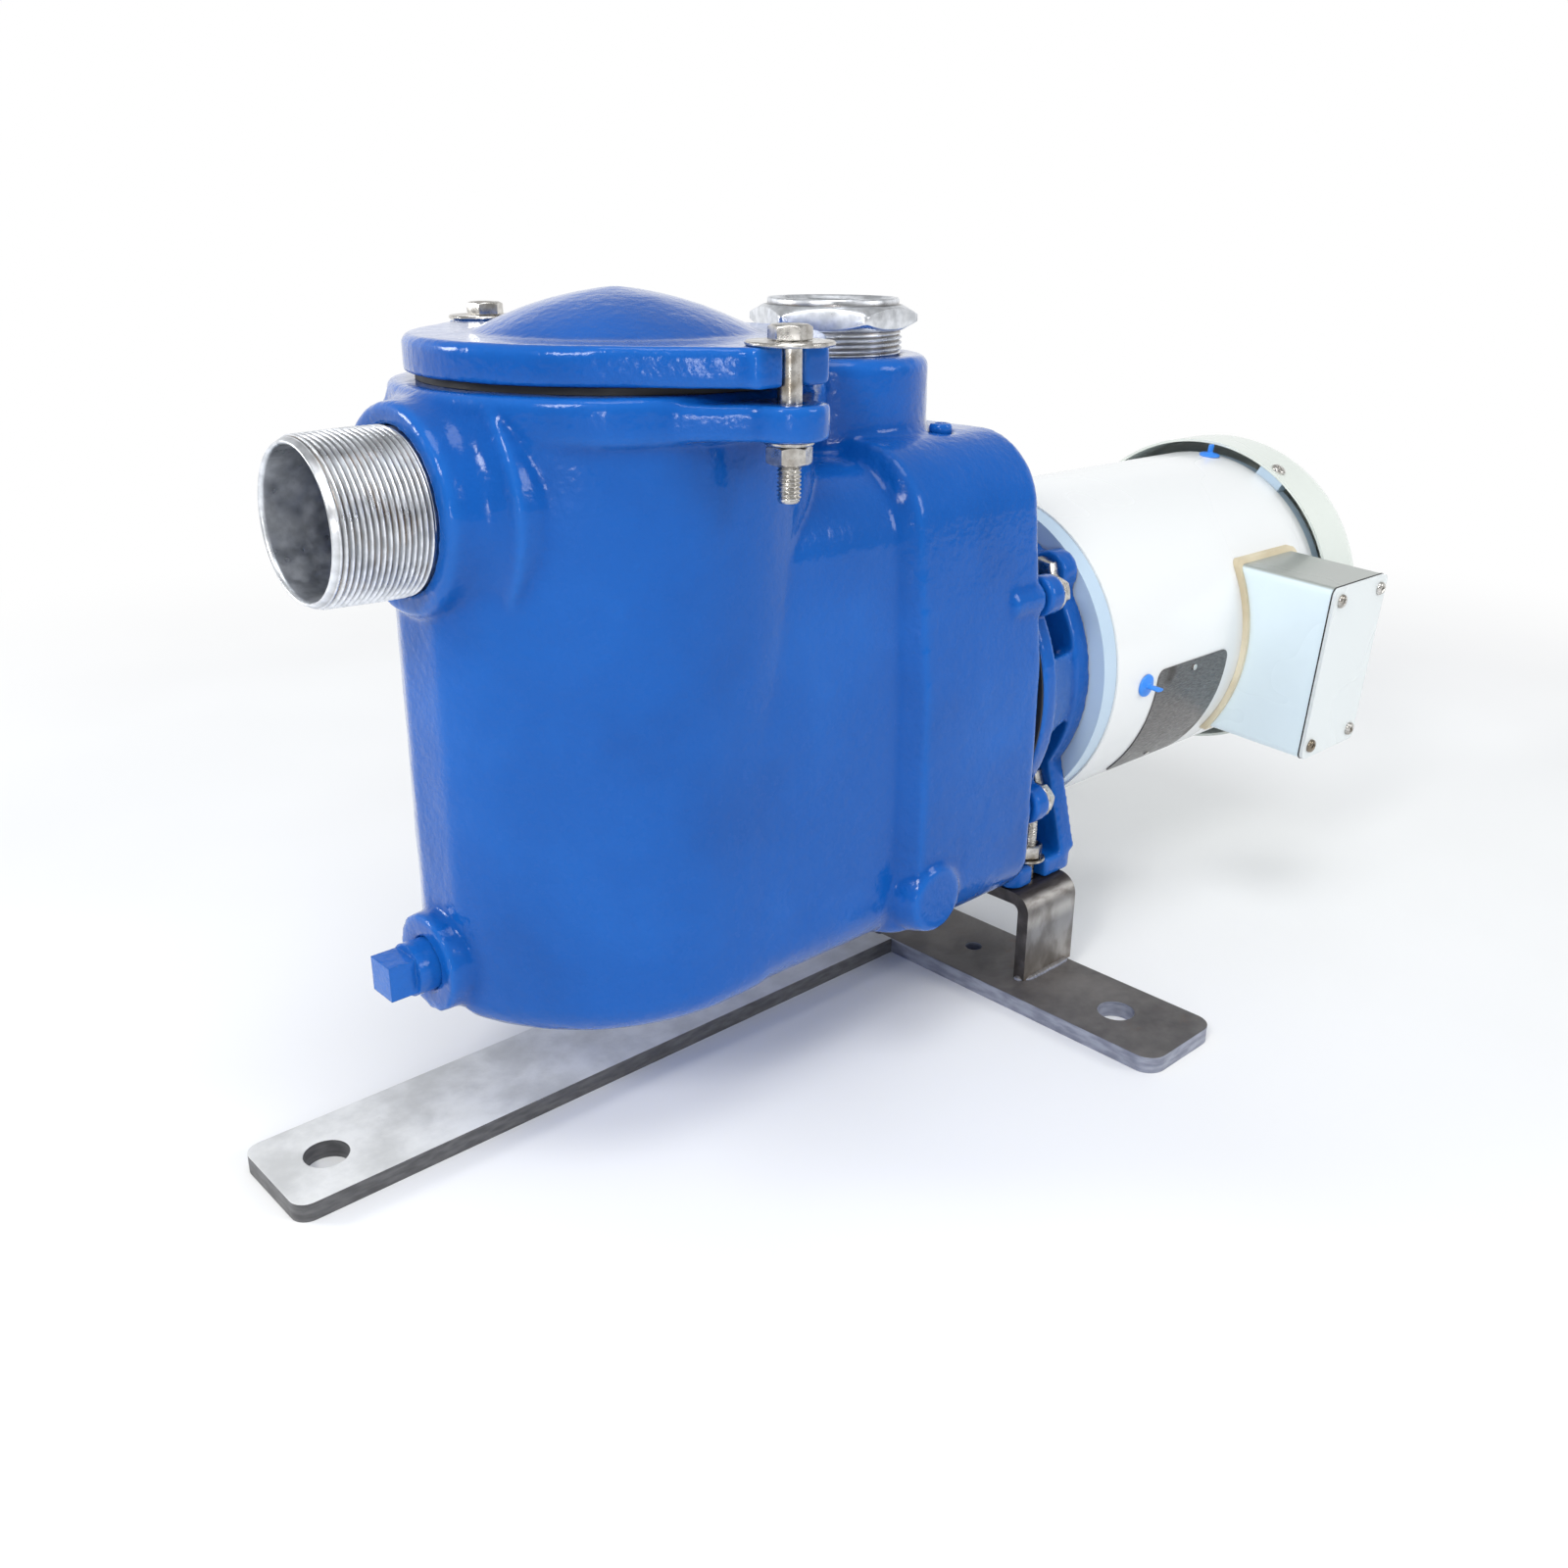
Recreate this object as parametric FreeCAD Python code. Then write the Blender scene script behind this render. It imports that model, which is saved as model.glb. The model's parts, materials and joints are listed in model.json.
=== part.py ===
import FreeCAD, Part
import math
import os

Vector = FreeCAD.Vector

# Self-priming centrifugal pump with a strainer trap, close coupled to a face-mounted
# electric motor and carried on a flat-bar base.
# X runs along the shaft, from the suction end towards the motor. Z is up.
# The origin is the middle of the cross plate's underside, straight below the shaft.

# Base: flat bars and the bent riser
bar_width = 50.8
bar_thickness = 7.94
bar_end_x = -351.9
bar_offset_y = 17.3
bar_corner_radius = 7.0
bar_hole_radius = 9.1
bar_hole_from_end = 24.0
plate_half_length = 168.3
plate_corner_radius = 9.0
plate_hole_radius = 8.75
plate_hole_y = 130.6
small_hole_radius = 4.3
small_hole_y = 42.6
riser_x = 8.8
riser_width = 38.1
riser_thickness = 6.35
riser_half_span = 83.2
riser_height = 45.26
riser_bend_radius = 10.0

# Shaft line
foot_above_riser = 97.3
shaft_radius = 7.94
journal_radius = 8.5
shaft_body_radius = 12.5
fan_seat_radius = 7.0

# Casing: the trap vessel in front, the discharge chamber behind
casing_rear_x = -11.35
casing_wall = 8.0
trap_wall = 7.0
trap_x = -184.35
trap_half_width = 75.0
trap_side_x = -192.35
facet_x = -278.35
facet_half_width = 12.0
body_below_shaft = 93.0
body_bottom_round = 17.0
bottom_round_steps = 4
body_floor = 8.0
trap_roof = 7.0
chamber_step_start_x = -98.5
chamber_step_end_x = -91.5
chamber_top = 124.0
chamber_front_top = 117.0
chamber_front_half_width = 74.6
chamber_bottom = 95.0
chamber_half_width = 84.0
chamber_knee = 20.0
chamber_shoulder_half_width = 73.0
chamber_front_shoulder_half_width = 69.0
chamber_top_round = 34.0
chamber_bottom_round = 24.0
chamber_rear_chamfer = 4.5

# Trap mouth and its flange
flange_above_shaft = 153.0
flange_thickness = 16.0
mouth_radius = 62.0
ear_y = 95.5
ear_x = -183.2
ear_radius = 14.0
ear_top_drop = 2.5
ear_thickness = 12.5
ear_hole_clearance = 0.5
flange_edge_chamfer = 1.8

# Cover
cover_gap = 2.7
gasket_compression_gap = 0.2
gasket_inner_radius = 65.0
gasket_from_cover_rim = 4.0
cover_radius = 80.0
cover_plate_thickness = 13.6
cover_edge_round = 3.0
cover_rim_chamfer = 2.0
cover_spigot_depth = 5.0
cover_spigot_clearance = 1.0
cover_side_clearance = 1.2
dome_radius = 55.0
dome_rise = 16.3
dome_middle_share = 0.5
dome_middle_rise_share = 0.68
hollow_middle_share = 0.62
cover_shell = 7.0
cover_ear_half_width = 18.0
cover_ear_reach = 98.0
cover_slot_half_width = 4.9
cover_slot_depth = 10.0

# Inch hardware
bolt_radius = 3.97
bolt_across_flats = 12.7
bolt_head_height = 5.4
nut_height = 6.75
nut_thread_gap = 0.35
foot_nut_turn_angle = 30.0
cover_nut_turn_angle = 12.0
cover_bolt_length = 54.5
fender_washer_radius = 15.4
washer_radius = 8.7
washer_thickness = 1.6
washer_bore_clearance = 0.45

# Suction boss and nipple
nipple_above_shaft = 112.0
nipple_radius = 30.15
nipple_bore_radius = 26.25
nipple_end_x = -320.0
nipple_end_chamfer = 2.4
thread_engagement = 19.0
thread_fit = 0.05
thread_half_depth = 0.75
boss_face_x = -283.35
boss_face_radius = 38.0
boss_straight = 6.0
boss_flare_radius = 13.0
boss_flare_steps = 4
boss_edge_chamfer = 1.8
boss_trim_below_flange = 1.0
boss_inner_lip = 2.5

# Discharge boss and reducing bushing
discharge_to_cover_rim = 35.5
discharge_boss_radius = 42.0
discharge_boss_top = 156.0
discharge_edge_chamfer = 3.0
bushing_thread_exposed = 10.0
bushing_across_flats = 63.5
bushing_hex_height = 10.0
bushing_rim_height = 3.0
bushing_rim_radius = 28.5
bushing_bore_radius = 22.8
bushing_bore_depth = 21.5
bushing_throat_radius = 21.6
bushing_turn_angle = 8.0

# Drain boss and plugs
drain_above_shaft = -65.0
drain_boss_radius = 20.0
drain_boss_face_x = -286.5
drain_boss_depth = 30.0
drain_plug_radius = 10.67
drain_plug_collar = 8.0
drain_plug_square = 14.3
drain_plug_head = 11.0
drain_plug_engagement = 14.0
blind_boss_x = -78.0
blind_boss_above_shaft = -79.5
blind_boss_radius = 10.0
blind_boss_face_y = 80.5
vent_from_discharge = 27.35
vent_y = -40.5
vent_plug_radius = 5.1
vent_plug_across_flats = 11.1
vent_plug_head = 6.0
vent_plug_engagement = 7.0

# Inside the casing
tube_outer_radius = 32.0
tube_inner_radius = 25.0
tube_front_x = -112.0
tube_socket_end_x = -97.0
tube_socket_fit = 0.05
wear_plate_x = -46.0
wear_plate_thickness = 6.0
scroll_start_radius = 58.0
scroll_end_radius = 69.0
scroll_wall = 6.0
scroll_mouth_angle = 52.0
scroll_quarters = 4
rear_opening_radius = 76.0
casing_bolt_y = 75.0
casing_bolt_above_shaft = 51.0
casing_bolt_boss_radius = 8.0
casing_bolt_boss_depth = 22.0
casing_bolt_engagement = 14.0
casing_gasket_thickness = 1.0
casing_gasket_inset = 1.0
basket_ledge_above_shaft = 65.0
basket_ledge_thickness = 6.0
basket_ledge_radius = 57.5
ledge_wall_bite = 1.0
basket_radius = 55.5
basket_wall = 1.6
basket_depth = 128.0
basket_rim_radius = 61.0
basket_rim_thickness = 2.4
basket_slot_width = 6.5
basket_slot_height = 24.0
basket_slot_columns = 16
basket_slot_rows = 3
basket_seat_gap = 0.3
bail_wire_radius = 2.0
bail_reach = 38.0

# Motor adapter
adapter_plate_thickness = 10.0
adapter_plate_land = 8.0
adapter_lug_radius = 9.5
adapter_spigot_depth = 4.0
adapter_spigot_clearance = 0.3
motor_face_x = 37.35
face_flange_thickness = 11.0
face_lobe_radius = 10.5
face_lobe_blend = 7.0
face_bolt_circle_radius = 74.6
face_bolt_radius = 4.76
face_bolt_head_across = 14.29
face_bolt_head_height = 6.2
face_bolt_engagement = 12.0
rabbet_radius = 57.15
rabbet_height = 3.2
rabbet_fit = 0.05
bell_outer_front = 80.0
bell_rear_step = 1.6
bell_thickness = 9.0
bell_web_half_angle = 14.0
seal_hub_radius = 28.0
seal_hub_length = 19.0
seal_chamber_radius = 21.0
foot_half_width = 74.0
foot_thickness = 10.0
foot_bolt_y = 66.0
foot_bolt_length = 42.9
foot_slot_clearance = 0.9
upright_half_width_top = 62.0
upright_top_below_shaft = 42.0

# Rotating parts
impeller_radius = 54.0
impeller_back_x = -18.0
impeller_shroud = 4.0
impeller_front_gap = 0.6
impeller_hub_radius = 13.0
impeller_nose_x = -45.0
vane_count = 5
vane_arc_radius = 34.0
vane_arc_offset = 26.0
vane_thickness = 4.2
vane_root_bite = 1.0
key_width = 4.76
key_height = 2.4
key_length = 18.0
impeller_screw_head = 4.0
impeller_screw_radius = 4.0
impeller_washer_radius = 10.5
impeller_washer_thickness = 1.6
seal_seat_radius = 17.0
seal_seat_thickness = 7.0
seal_seat_bore = 9.0
seal_face_gap = 0.2
seal_head_radius = 15.0
seal_head_length = 7.0
seal_ring_step = 2.0
seal_spring_radius = 12.6
seal_spring_wire = 1.1
seal_spring_turns = 4
slinger_x = 24.0
slinger_radius = 14.0
slinger_thickness = 3.0
shaft_pump_end_x = -41.0
shaft_end_margin = 1.0

# Motor
shell_over_bolt_circle = 9.4
shell_wall = 3.5
shell_front_x = 47.5
shell_rear_x = 243.0
end_bell_step = 1.0
bell_spigot = 9.0
bell_plate = 8.0
bearing_outer_radius = 20.0
bearing_width = 12.0
bearing_ring = 3.4
bearing_ball_gap = 0.3
ball_count = 7
cage_half_wall = 0.7
front_bearing_x = 43.0
rear_bearing_x = 231.0
bearing_wall = 6.0
shaft_hole_clearance = 0.8
stator_front_x = 95.0
stator_length = 85.0
stator_bore_radius = 42.0
stator_slot_radius = 3.2
air_gap = 0.5
winding_inner_radius = 48.0
winding_to_shell = 8.5
winding_overhang = 22.0
winding_chamfer = 5.0
through_bolt_radius = 2.4
through_bolt_inset = 8.0
through_bolt_head_radius = 4.4
through_bolt_head_height = 3.2
through_bolt_start_angle = 20.0
fan_cover_front_x = 240.6
fan_cover_rear_x = 283.6
fan_cover_stand_out = 7.6
fan_cover_wall = 1.5
fan_cover_round = 14.0
fan_cover_slot_rings = 3
fan_cover_slots = 8
fan_cover_slot_width = 7.0
fan_cover_ring_pitch = 15.0
fan_cover_first_ring = 24.0
fan_cover_bridge_angle = 11.0
fan_lug_angle = 31.0
fan_lug_width = 17.0
fan_lug_length = 9.0
fan_screw_radius = 2.2
fan_screw_head_radius = 4.2
fan_screw_head_height = 1.8
fan_x = 256.0
fan_width = 17.0
fan_inside_shell = 12.0
fan_hub_radius = 15.0
fan_plate = 3.0
fan_blades = 8
fan_blade_thickness = 3.0
fan_blade_root_bite = 1.0
fan_blade_tip_inset = 2.0
conduit_turn_angle = 4.0
conduit_x = 192.3
conduit_half_length = 28.3
conduit_half_height = 47.2
conduit_centre_drop = 1.4
conduit_stand_out = 45.0
conduit_wall = 2.0
conduit_corner_round = 4.0
conduit_gasket_thickness = 3.0
conduit_gasket_margin = 2.2
conduit_cover_thickness = 2.2
conduit_screw_inset = 7.0
conduit_screw_radius = 1.9
conduit_screw_head_radius = 3.6
conduit_screw_head_height = 2.0
conduit_screw_length = 9.0
conduit_wire_hole_radius = 12.0
nameplate_x0 = 83.0
nameplate_x1 = 147.5
nameplate_top_angle = -1.0
nameplate_bottom_angle = -46.0
nameplate_thickness = 0.6
nameplate_seat_gap = 0.1
rivet_radius = 1.7
rivet_height = 0.7
motor_plug_radius = 5.9
motor_plug_height = 2.6
side_plug_x = 72.5
side_plug_angle = -4.2
top_plug_x = 236.0
top_plug_angle = 84.0
plug_stem_radius = 2.6

# Heights and places that follow from the values above
riser_top = bar_thickness + riser_height
shaft_height = riser_top + foot_above_riser
body_bottom = shaft_height - body_below_shaft
flange_top = shaft_height + flange_above_shaft
flange_under = flange_top - flange_thickness
ear_top = flange_top - ear_top_drop
ear_under = ear_top - ear_thickness
cover_under = flange_top + cover_gap
cover_top = cover_under + cover_plate_thickness
nipple_height = shaft_height + nipple_above_shaft
discharge_top = shaft_height + discharge_boss_top
adapter_front_x = casing_rear_x + casing_gasket_thickness
adapter_plate_rear_x = adapter_front_x + adapter_plate_thickness
face_flange_front_x = motor_face_x - face_flange_thickness
ledge_top = shaft_height + basket_ledge_above_shaft
front_arc_radius = ((trap_side_x - facet_x) ** 2 + (trap_half_width - facet_half_width) ** 2) / (
    2 * (trap_half_width - facet_half_width))
drain_height = shaft_height + drain_above_shaft
flange_radius = cover_radius
gasket_outer_radius = cover_radius - gasket_from_cover_rim
discharge_x = trap_x + cover_radius + discharge_to_cover_rim
vent_x = discharge_x + vent_from_discharge
adapter_plate_radius = rear_opening_radius + adapter_plate_land
engaged_radius = nipple_radius - thread_half_depth
seal_seat_x = adapter_front_x + seal_hub_length
face_flange_radius = face_bolt_circle_radius
bell_outer_rear = face_flange_radius - bell_rear_step
shell_radius = face_bolt_circle_radius + shell_over_bolt_circle
end_bell_radius = shell_radius - end_bell_step
through_bolt_circle = shell_radius - through_bolt_inset
winding_outer_radius = shell_radius - shell_wall - winding_to_shell
fan_cover_radius = shell_radius + fan_cover_stand_out
fan_radius = shell_radius - fan_inside_shell
conduit_reach = shell_radius + conduit_stand_out
tiny = 0.01


# Basic shapes

def cylinder_x(radius, x0, x1, y=0.0, z=shaft_height):
    return Part.makeCylinder(radius, x1 - x0, Vector(x0, y, z), Vector(1, 0, 0))


def cylinder_y(radius, y0, y1, x, z):
    return Part.makeCylinder(radius, y1 - y0, Vector(x, y0, z), Vector(0, 1, 0))


def cylinder_z(radius, z0, z1, x=0.0, y=0.0):
    return Part.makeCylinder(radius, z1 - z0, Vector(x, y, z0), Vector(0, 0, 1))


def tube_x(outer, inner, x0, x1):
    return cylinder_x(outer, x0, x1).cut(cylinder_x(inner, x0, x1))


def tube_z(outer, inner, z0, z1, x=0.0, y=0.0):
    return cylinder_z(outer, z0, z1, x, y).cut(cylinder_z(inner, z0, z1, x, y))


def block(x0, x1, y0, y1, z0, z1):
    return Part.makeBox(x1 - x0, y1 - y0, z1 - z0, Vector(x0, y0, z0))


def fused(shapes):
    whole = shapes[0].fuse(shapes[1:])
    return whole.removeSplitter()


def hexagon(across_flats, height, centre, direction, turn=0.0):
    corner = across_flats / math.sqrt(3)
    points = []
    for k in range(7):
        angle = math.radians(turn + 60 * k)
        points.append(Vector(corner * math.cos(angle), corner * math.sin(angle), 0))
    prism = Part.Face(Part.makePolygon(points)).extrude(Vector(0, 0, height))
    prism.Placement = FreeCAD.Placement(centre, FreeCAD.Rotation(Vector(0, 0, 1), direction))
    return prism


def around_shaft(shape, degrees):
    turned = shape.copy()
    turned.rotate(Vector(0, 0, shaft_height), Vector(1, 0, 0), degrees)
    return turned


def turned_profile(points, centre, axis):
    # A closed outline of places, revolved about an axis through the centre
    face = Part.Face(Part.makePolygon(points + [points[0]]))
    return face.revolve(centre, axis, 360)


def revolved_x(profile, z=shaft_height):
    points = [Vector(x, 0, z + r) for x, r in profile]
    return turned_profile(points, Vector(0, 0, z), Vector(1, 0, 0))


def rounded_wire(corners, place):
    # Straight runs joined by tangent arcs; each corner is (u, v, radius)
    edges = []
    stops = []
    count = len(corners)
    for i in range(count):
        u, v, radius = corners[i]
        here = Vector(u, v, 0)
        back = Vector(corners[i - 1][0], corners[i - 1][1], 0) - here
        ahead = Vector(corners[(i + 1) % count][0], corners[(i + 1) % count][1], 0) - here
        back.normalize()
        ahead.normalize()
        half = back.getAngle(ahead) / 2
        reach = radius / math.tan(half)
        bisector = back + ahead
        bisector.normalize()
        middle = here + bisector * (radius / math.sin(half) - radius)
        stops.append((here + back * reach, middle, here + ahead * reach))
    for i in range(count):
        start, middle, end = stops[i]
        edges.append(Part.Arc(place(start), place(middle), place(end)).toShape())
        following = stops[(i + 1) % count][0]
        edges.append(Part.LineSegment(place(end), place(following)).toShape())
    return Part.Wire(edges)


def rounded_box(x0, x1, y0, y1, z0, z1, radius):
    corners = [(x0, y0, radius), (x1, y0, radius), (x1, y1, radius), (x0, y1, radius)]
    wire = rounded_wire(corners, lambda p: Vector(p.x, p.y, z0))
    return Part.Face(wire).extrude(Vector(0, 0, z1 - z0))


# Base

def make_base_bar():
    plate_edge = -bar_width / 2
    y0 = bar_offset_y - bar_width / 2
    y1 = bar_offset_y + bar_width / 2
    bar = rounded_box(bar_end_x, plate_edge + bar_corner_radius, y0, y1, 0, bar_thickness,
                      bar_corner_radius)
    trim = block(plate_edge, plate_edge + bar_width, y0 - tiny, y1 + tiny, -tiny, bar_thickness + tiny)
    hole = cylinder_z(bar_hole_radius, -tiny, bar_thickness + tiny, bar_end_x + bar_hole_from_end,
                      bar_offset_y)
    squared = block(plate_edge - bar_width, plate_edge, y0, y1, 0, bar_thickness)
    return bar.fuse(squared).removeSplitter().cut(trim).cut(hole)


def make_cross_plate():
    half = bar_width / 2
    plate = rounded_box(-half, half, -plate_half_length, plate_half_length, 0, bar_thickness,
                        plate_corner_radius)
    holes = []
    for side in (-1, 1):
        holes.append(cylinder_z(plate_hole_radius, -tiny, bar_thickness + tiny, 0, side * plate_hole_y))
    holes.append(cylinder_z(small_hole_radius, -tiny, bar_thickness + tiny, 0, -small_hole_y))
    return plate.cut(holes)


def make_riser():
    x0 = riser_x - riser_width / 2
    x1 = riser_x + riser_width / 2
    outer = riser_half_span
    inner = outer - riser_thickness
    inner_bend = riser_bend_radius - riser_thickness
    corner = tiny
    profile = [(-outer, bar_thickness, corner), (-inner, bar_thickness, corner),
               (-inner, riser_top - riser_thickness, inner_bend), (inner, riser_top - riser_thickness,
                                                                   inner_bend),
               (inner, bar_thickness, corner), (outer, bar_thickness, corner),
               (outer, riser_top, riser_bend_radius), (-outer, riser_top, riser_bend_radius)]
    strap = Part.Face(rounded_wire(profile, lambda p: Vector(x0, p.x, p.y))).extrude(Vector(x1 - x0, 0, 0))
    for side in (-1, 1):
        strap = strap.cut(cylinder_z(bolt_radius + washer_bore_clearance,
                                     riser_top - riser_thickness - tiny,
                                     riser_top + tiny, riser_x, side * foot_bolt_y))
    return strap


def make_foot_bolts():
    bolts = []
    head_top = riser_top - riser_thickness
    for side in (-1, 1):
        y = side * foot_bolt_y
        shank = cylinder_z(bolt_radius, head_top, head_top + foot_bolt_length, riser_x, y)
        head = hexagon(bolt_across_flats, bolt_head_height, Vector(riser_x, y, head_top - bolt_head_height),
                       Vector(0, 0, 1))
        bolts.append(fused([shank, head]))
    return bolts


def foot_washer_base():
    return riser_top + foot_thickness


def make_foot_washers():
    z0 = foot_washer_base()
    return [tube_z(washer_radius, bolt_radius, z0, z0 + washer_thickness, riser_x, side * foot_bolt_y)
            for side in (-1, 1)]


def make_foot_nuts():
    z0 = foot_washer_base() + washer_thickness
    nuts = []
    for side in (-1, 1):
        y = side * foot_bolt_y
        nut = hexagon(bolt_across_flats, nut_height, Vector(riser_x, y, z0), Vector(0, 0, 1),
                      foot_nut_turn_angle)
        nuts.append(nut.cut(cylinder_z(bolt_radius, z0, z0 + nut_height, riser_x, y)))
    return nuts


# Casing

def trap_wire(inset, z):
    # Plan outline: a narrow flat in front, two long arcs, straight cheeks and a round back
    radius = front_arc_radius - inset
    across = front_arc_radius - trap_half_width
    half = trap_half_width - inset
    front = facet_x + inset
    corner = math.sqrt(radius ** 2 - (trap_side_x - front) ** 2) - across
    sweep = math.atan2(trap_side_x - front, corner + across) / 2
    edges = []
    for side in (-1, 1):
        cheek = Vector(trap_side_x, side * half, z)
        bulge = Vector(trap_side_x - radius * math.sin(sweep), side * (radius * math.cos(sweep) - across),
                       z)
        edges.append(Part.Arc(cheek, bulge, Vector(front, side * corner, z)).toShape())
        edges.append(Part.LineSegment(cheek, Vector(trap_x, side * half, z)).toShape())
    edges.append(Part.LineSegment(Vector(front, -corner, z), Vector(front, corner, z)).toShape())
    back = Part.Arc(Vector(trap_x, -half, z), Vector(trap_x + half, 0, z), Vector(trap_x, half, z))
    edges.append(back.toShape())
    return Part.Wire(Part.__sortEdges__(edges))


def trap_prism(inset, z0, z1):
    return Part.Face(trap_wire(inset, z0)).extrude(Vector(0, 0, z1 - z0))


def trap_vessel(inset, z0, z1, radius):
    # Upright walls on a bottom that rounds under in a quarter circle
    outlines = []
    for k in range(bottom_round_steps + 1):
        angle = math.radians(90 * k / bottom_round_steps)
        outlines.append(trap_wire(inset + radius * (1 - math.sin(angle)),
                                  z0 + radius * (1 - math.cos(angle))))
    bowl = Part.makeLoft(outlines, True, False)
    return bowl.fuse(trap_prism(inset, z0 + radius, z1))


def chamber_section(x, half, shoulder, top, inset):
    low = shaft_height - chamber_bottom + inset
    high = shaft_height + top - inset
    knee = shaft_height + chamber_knee
    bottom_round = chamber_bottom_round - inset
    top_round = chamber_top_round - inset
    side = half - inset
    crest = shoulder - inset
    corners = [(-side, low, bottom_round), (side, low, bottom_round), (side, knee, half),
               (crest, high, top_round), (-crest, high, top_round), (-side, knee, half)]
    return rounded_wire(corners, lambda p: Vector(x, p.x, p.y))


def chamber_solid(inset, front_x, rear_x):
    front = (chamber_front_half_width, chamber_front_shoulder_half_width, chamber_front_top, inset)
    rear = (chamber_half_width, chamber_shoulder_half_width, chamber_top, inset)
    neck = Part.makeLoft([chamber_section(front_x, *front),
                          chamber_section(chamber_step_start_x + inset, *front)],
                         True, True)
    step = Part.makeLoft([chamber_section(chamber_step_start_x + inset, *front),
                          chamber_section(chamber_step_end_x + inset, *rear)], True, True)
    barrel = Part.makeLoft([chamber_section(chamber_step_end_x + inset, *rear),
                            chamber_section(rear_x, *rear)],
                           True, True)
    return neck, step, barrel


def flange_disc():
    disc = cylinder_z(flange_radius, flange_under, flange_top, trap_x)
    rims = [edge for edge in disc.Edges if edge.Closed]
    return disc.makeChamfer(flange_edge_chamfer, rims)


def ear_plate(side):
    reach = side * ear_y
    tab = cylinder_z(ear_radius, ear_under, ear_top, ear_x, reach)
    root = block(ear_x - ear_radius, ear_x + ear_radius, min(0, reach), max(0, reach), ear_under, ear_top)
    return tab.fuse(root).removeSplitter()


def nozzle_boss():
    # A straight collar round the pipe thread, flaring in short cones into the vessel
    z = nipple_height
    collar_end = boss_face_x + boss_straight
    wide = boss_face_radius + boss_flare_radius
    inner_end = trap_side_x - trap_wall
    outline = [Vector(boss_face_x, 0, z),
               Vector(boss_face_x, 0, z + boss_face_radius - boss_edge_chamfer),
               Vector(boss_face_x + boss_edge_chamfer, 0, z + boss_face_radius)]
    for k in range(boss_flare_steps + 1):
        angle = math.radians(90 * k / boss_flare_steps)
        outline.append(Vector(collar_end + boss_flare_radius * math.sin(angle), 0,
                              z + wide - boss_flare_radius * math.cos(angle)))
    outline += [Vector(inner_end, 0, z + wide), Vector(inner_end, 0, z)]
    boss = turned_profile(outline, Vector(0, 0, z), Vector(1, 0, 0))
    lid_line = flange_top - boss_trim_below_flange
    above = block(boss_face_x - tiny, inner_end + tiny, -wide, wide, lid_line, z + wide + tiny)
    return boss.cut(above)


def casing_outside():
    vessel = trap_vessel(0, body_bottom, flange_under, body_bottom_round)
    neck, step, barrel = chamber_solid(0, trap_x, casing_rear_x)
    rim = [edge for edge in barrel.Edges if edge.BoundBox.XMin > casing_rear_x - tiny]
    barrel = barrel.makeChamfer(chamber_rear_chamfer, rim)
    boss = cylinder_z(discharge_boss_radius, shaft_height + chamber_knee, discharge_top, discharge_x)
    crown = [edge for edge in boss.Edges if edge.BoundBox.ZMin > discharge_top - tiny]
    boss = boss.makeChamfer(discharge_edge_chamfer, crown)
    drain = cylinder_x(drain_boss_radius, drain_boss_face_x, drain_boss_face_x + drain_boss_depth, 0,
                       drain_height)
    blind = cylinder_y(blind_boss_radius, -blind_boss_face_y, 0, blind_boss_x,
                       shaft_height + blind_boss_above_shaft)
    parts = [vessel, neck, step, barrel, boss, drain, blind, flange_disc(), ear_plate(-1), ear_plate(1),
             nozzle_boss()]
    return fused(parts)


def casing_hollows():
    floor = body_bottom + body_floor
    roof = flange_under - trap_roof
    trap = trap_vessel(trap_wall, floor, roof, body_bottom_round - trap_wall)
    neck, step, barrel = chamber_solid(casing_wall, trap_x, casing_rear_x - casing_wall)
    chamber = fused([neck, step, barrel])
    vessel_wall = cylinder_z(trap_half_width, body_bottom - tiny, flange_top, trap_x)
    mouth = cylinder_z(mouth_radius, roof - tiny, flange_top + tiny, trap_x)
    return trap, chamber.cut(vessel_wall), mouth


def scroll_arcs(grow):
    # Laid out as on a drawing: quarter arcs from the corners of a small square, each opening by one step
    quarter = 360 / scroll_quarters
    step = (scroll_end_radius - scroll_start_radius) / scroll_quarters
    radius = scroll_start_radius + step / 2 + grow
    shaft = Vector(wear_plate_x, 0, shaft_height)
    corner = ray(scroll_mouth_angle + quarter) + ray(scroll_mouth_angle + 2 * quarter)
    centre = shaft + corner * (step / 2)
    arcs = []
    for k in range(scroll_quarters):
        turn = scroll_mouth_angle + quarter * k
        ends = [centre + ray(angle) * radius for angle in (turn, turn + quarter / 2, turn + quarter)]
        arcs.append(Part.Arc(*ends).toShape())
        centre = centre - ray(turn + quarter) * step
        radius += step
    return arcs, arcs[0].Vertexes[0].Point, arcs[-1].Vertexes[-1].Point


def ray(degrees):
    angle = math.radians(degrees)
    return Vector(0, math.cos(angle), math.sin(angle))


def scroll_casing():
    inner, inner_start, inner_end = scroll_arcs(0)
    outer, outer_start, outer_end = scroll_arcs(scroll_wall)
    start = Part.LineSegment(inner_start, outer_start).toShape()
    end = Part.LineSegment(inner_end, outer_end).toShape()
    wall = Part.Face(Part.Wire(Part.__sortEdges__(inner + [end] + outer + [start])))
    wall_rear_x = casing_rear_x - adapter_spigot_depth - adapter_spigot_clearance
    ring = wall.extrude(Vector(wall_rear_x - wear_plate_x, 0, 0))
    mouth = Part.LineSegment(outer_end, outer_start).toShape()
    plate = Part.Face(Part.Wire(Part.__sortEdges__(outer + [mouth])))
    front = plate.extrude(Vector(wear_plate_thickness, 0, 0))
    return ring, front


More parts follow.
